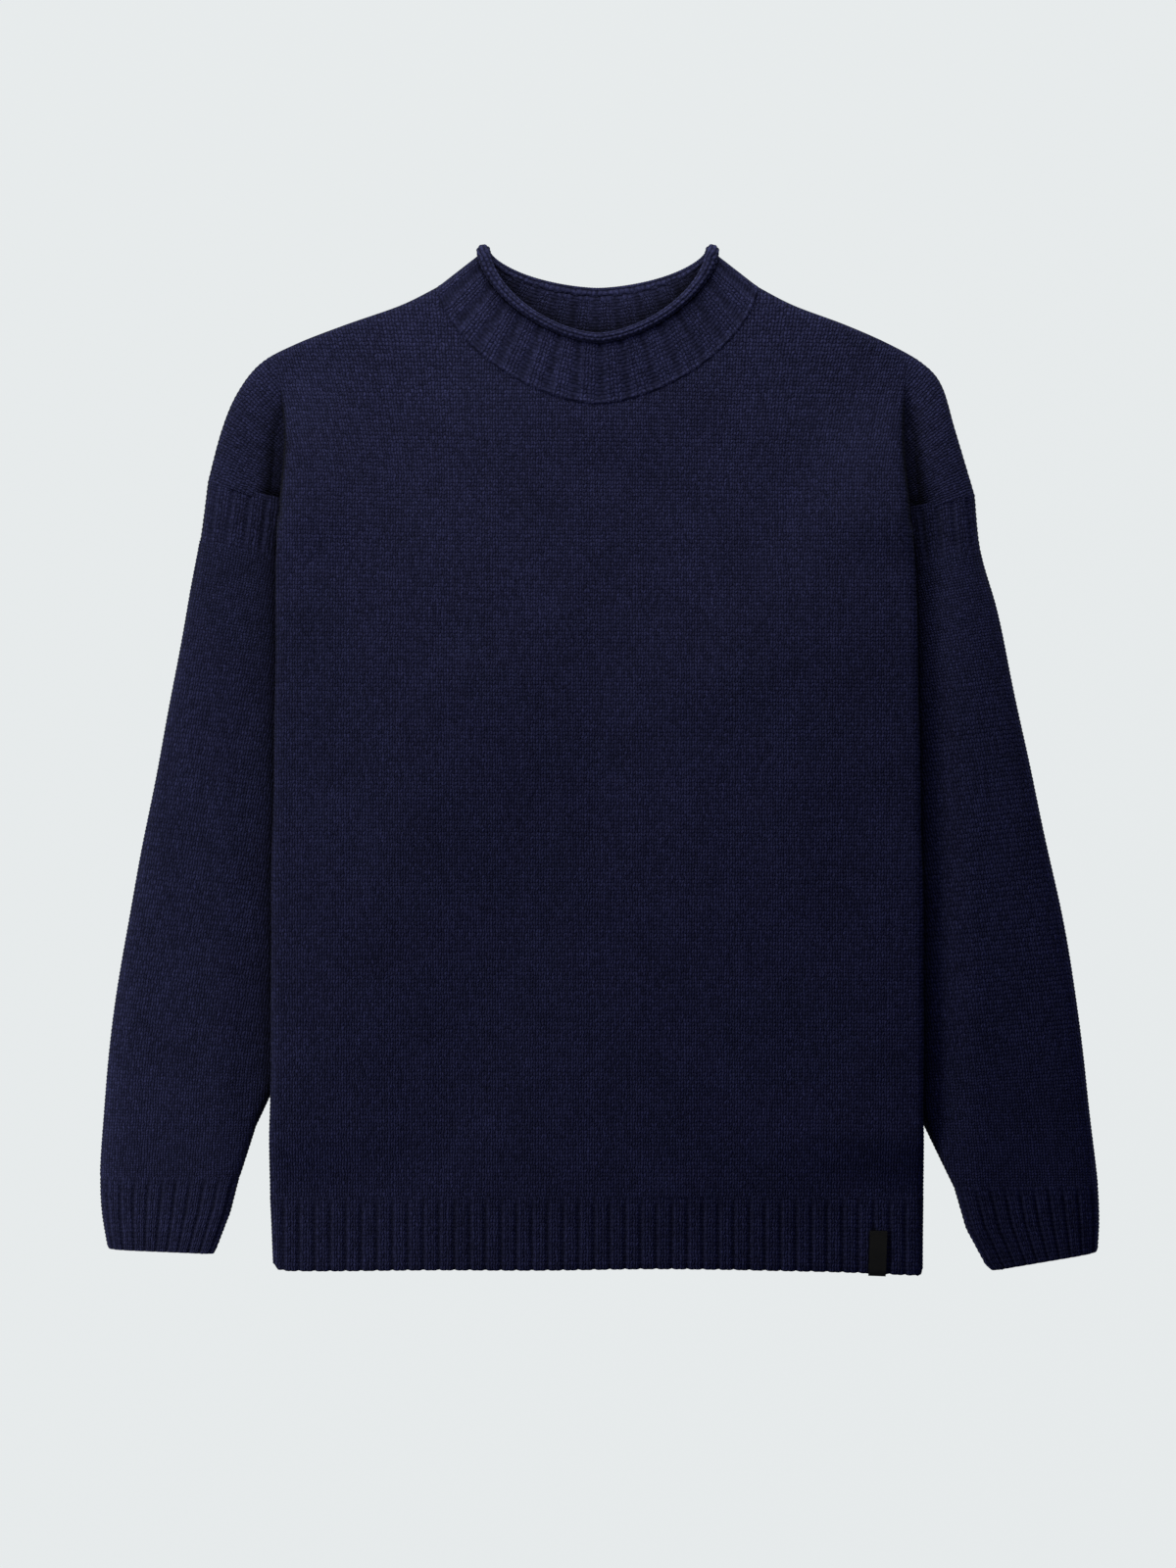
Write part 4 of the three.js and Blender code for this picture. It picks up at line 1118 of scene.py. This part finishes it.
def make_body():
    for name, face, drop in (("front", 1, FRONT_NECK_DROP), ("back", -1, BACK_NECK_DROP)):
        piece = build_mesh(f"{name}_panel", panel(face), flip=face < 0)
        thicken(piece)
        finish_piece(piece, [name], [PLAIN])
        rests = ["sweater_back_panel"] if face > 0 else ["floor"]
        welt = build_mesh(f"{name}_hem_ribs", hem(face), flip=face < 0)
        thicken(welt)
        finish_piece(welt, [f"{name}_hem"], [RIBBED])


def make_sleeves():
    for side, wearers in (("left", "right"), ("right", "left")):
        stretches = (
            ("sleeve_head", "rib", HEAD_RIBBED, 0, HEAD_BAND_END, 1.6, "head", 12),
            ("sleeve", "knit", PLAIN, HEAD_BAND_END, CUFF_SEAM, COURSE / 2, "plain", 0),
            ("cuff", "rib", RIBBED, CUFF_SEAM, CUFF_EDGE, COURSE / 2, "cuff", 20),
        )
        for part, slot, material, first, last, step, style, ribs in stretches:
            grid, length = sleeve_tube(side, first, last, step, style, ribs)
            piece = build_mesh(f"{wearers}_{part}_knitted", [grid], flip=side == "left")
            thicken(piece, 2.6)
            node = f"{wearers}_{part}"
            finish_piece(piece, [node], [material])
            rows = sleeve_section(side, np.arange(first, last + 1.0))


def make_collar():
    piece = build_mesh("collar_ribs", collar())
    thicken(piece, WALL, inside=1)
    finish_piece(piece, ["collar"], [COLLAR_RIBBED, INSIDE])
    middle = collar_level(0.5)
    edge = build_mesh("rolled_collar_edge", roll())
    finish_piece(edge, ["collar_roll"], [PURLED])


def make_tab():
    piece = build_mesh("hem_tab_ribbon", tab())
    thicken(piece, TAB["thickness"])
    finish_piece(piece, ["hem_tab"], [BLACK_RIBBON])


# ---------------------------------------------------------------------------------------------
# Floor, light and camera


PALE = (0.799, 0.831, 0.839, 1.0)


def make_stage():
    """A plain pale floor under soft light from above and to the upper left."""
    mesh = bpy.data.meshes.new("floor")
    reach = 6.0
    corners = [(-reach, -reach, 0), (reach, -reach, 0), (reach, reach, 0), (-reach, reach, 0)]
    mesh.from_pydata([(x, y, -0.0004) for x, y, _ in corners], [], [(0, 1, 2, 3)])
    floor = bpy.data.objects.new("floor", mesh)
    bpy.context.scene.collection.objects.link(floor)
    nodes = Nodes("pale_floor")
    glow = nodes.add("ShaderNodeEmission")
    glow.inputs["Color"].default_value = PALE
    glow.inputs["Strength"].default_value = 0.993
    plain = nodes.add("ShaderNodeBsdfDiffuse")
    plain.inputs["Color"].default_value = (0.003, 0.003, 0.003, 1.0)
    both = nodes.add("ShaderNodeAddShader")
    nodes.join(glow.outputs[0], both.inputs[0])
    nodes.join(plain.outputs[0], both.inputs[1])
    output = nodes.add("ShaderNodeOutputMaterial")
    nodes.join(both.outputs[0], output.inputs["Surface"])
    floor.data.materials.append(nodes.material)


def soft_light(name, place, aim, size, power, color):
    lamp = bpy.data.lights.new(name, "AREA")
    lamp.shape = "RECTANGLE"
    lamp.size, lamp.size_y = size
    lamp.energy = power
    light = bpy.data.objects.new(name, lamp)
    bpy.context.scene.collection.objects.link(light)
    light.location = place
    direction = np.array(aim) - np.array(place)
    flat = math.hypot(direction[0], direction[1])
    turn = math.atan2(-direction[0], direction[1])
    light.rotation_euler = (math.atan2(flat, -direction[2]), 0.0, turn)
    lamp.color = color


def make_lights():
    warm = (1.0, 0.97, 0.66)
    soft_light("key", (-0.78, -0.34, 0.46), (0.0, 0.05, 0.0), (0.3, 0.3), 5.9, warm)
    soft_light("strip", (-0.06, 0.66, 0.31), (0.0, 0.1, 0.0), (1.1, 0.2), 7.6, warm)
    world = bpy.data.worlds.new("studio")
    world.use_nodes = True
    tree = world.node_tree
    sky = tree.nodes["Background"]
    sky.inputs["Color"].default_value = (0.32, 0.4, 1.0, 1.0)
    sky.inputs["Strength"].default_value = 0.14
    backdrop = tree.nodes.new("ShaderNodeBackground")
    backdrop.inputs["Color"].default_value = PALE
    seen = tree.nodes.new("ShaderNodeLightPath")
    either = tree.nodes.new("ShaderNodeMixShader")
    tree.links.new(seen.outputs["Is Camera Ray"], either.inputs[0])
    tree.links.new(sky.outputs[0], either.inputs[1])
    tree.links.new(backdrop.outputs[0], either.inputs[2])
    tree.links.new(either.outputs[0], tree.nodes["World Output"].inputs["Surface"])
    bpy.context.scene.world = world


def make_camera():
    """Straight above, hem towards the bottom of the frame."""
    lens = bpy.data.cameras.new("camera")
    lens.lens = 85.0
    camera = bpy.data.objects.new("camera", lens)
    bpy.context.scene.collection.objects.link(camera)
    low, high = (np.array(corner) for corner in CAD_BOX)
    middle = (low + high) / 2
    length = high[1] - low[1]
    frame_height = length * 1.528
    distance = frame_height * lens.lens / lens.sensor_width
    camera.location = (middle[0] - 0.0115 * length, middle[1] - 0.0248 * length, distance + 0.012)
    bpy.context.scene.camera = camera


make_camera()
make_body()
make_sleeves()
make_collar()
make_tab()
make_stage()
make_lights()
bpy.context.scene.view_settings.view_transform = "Standard"
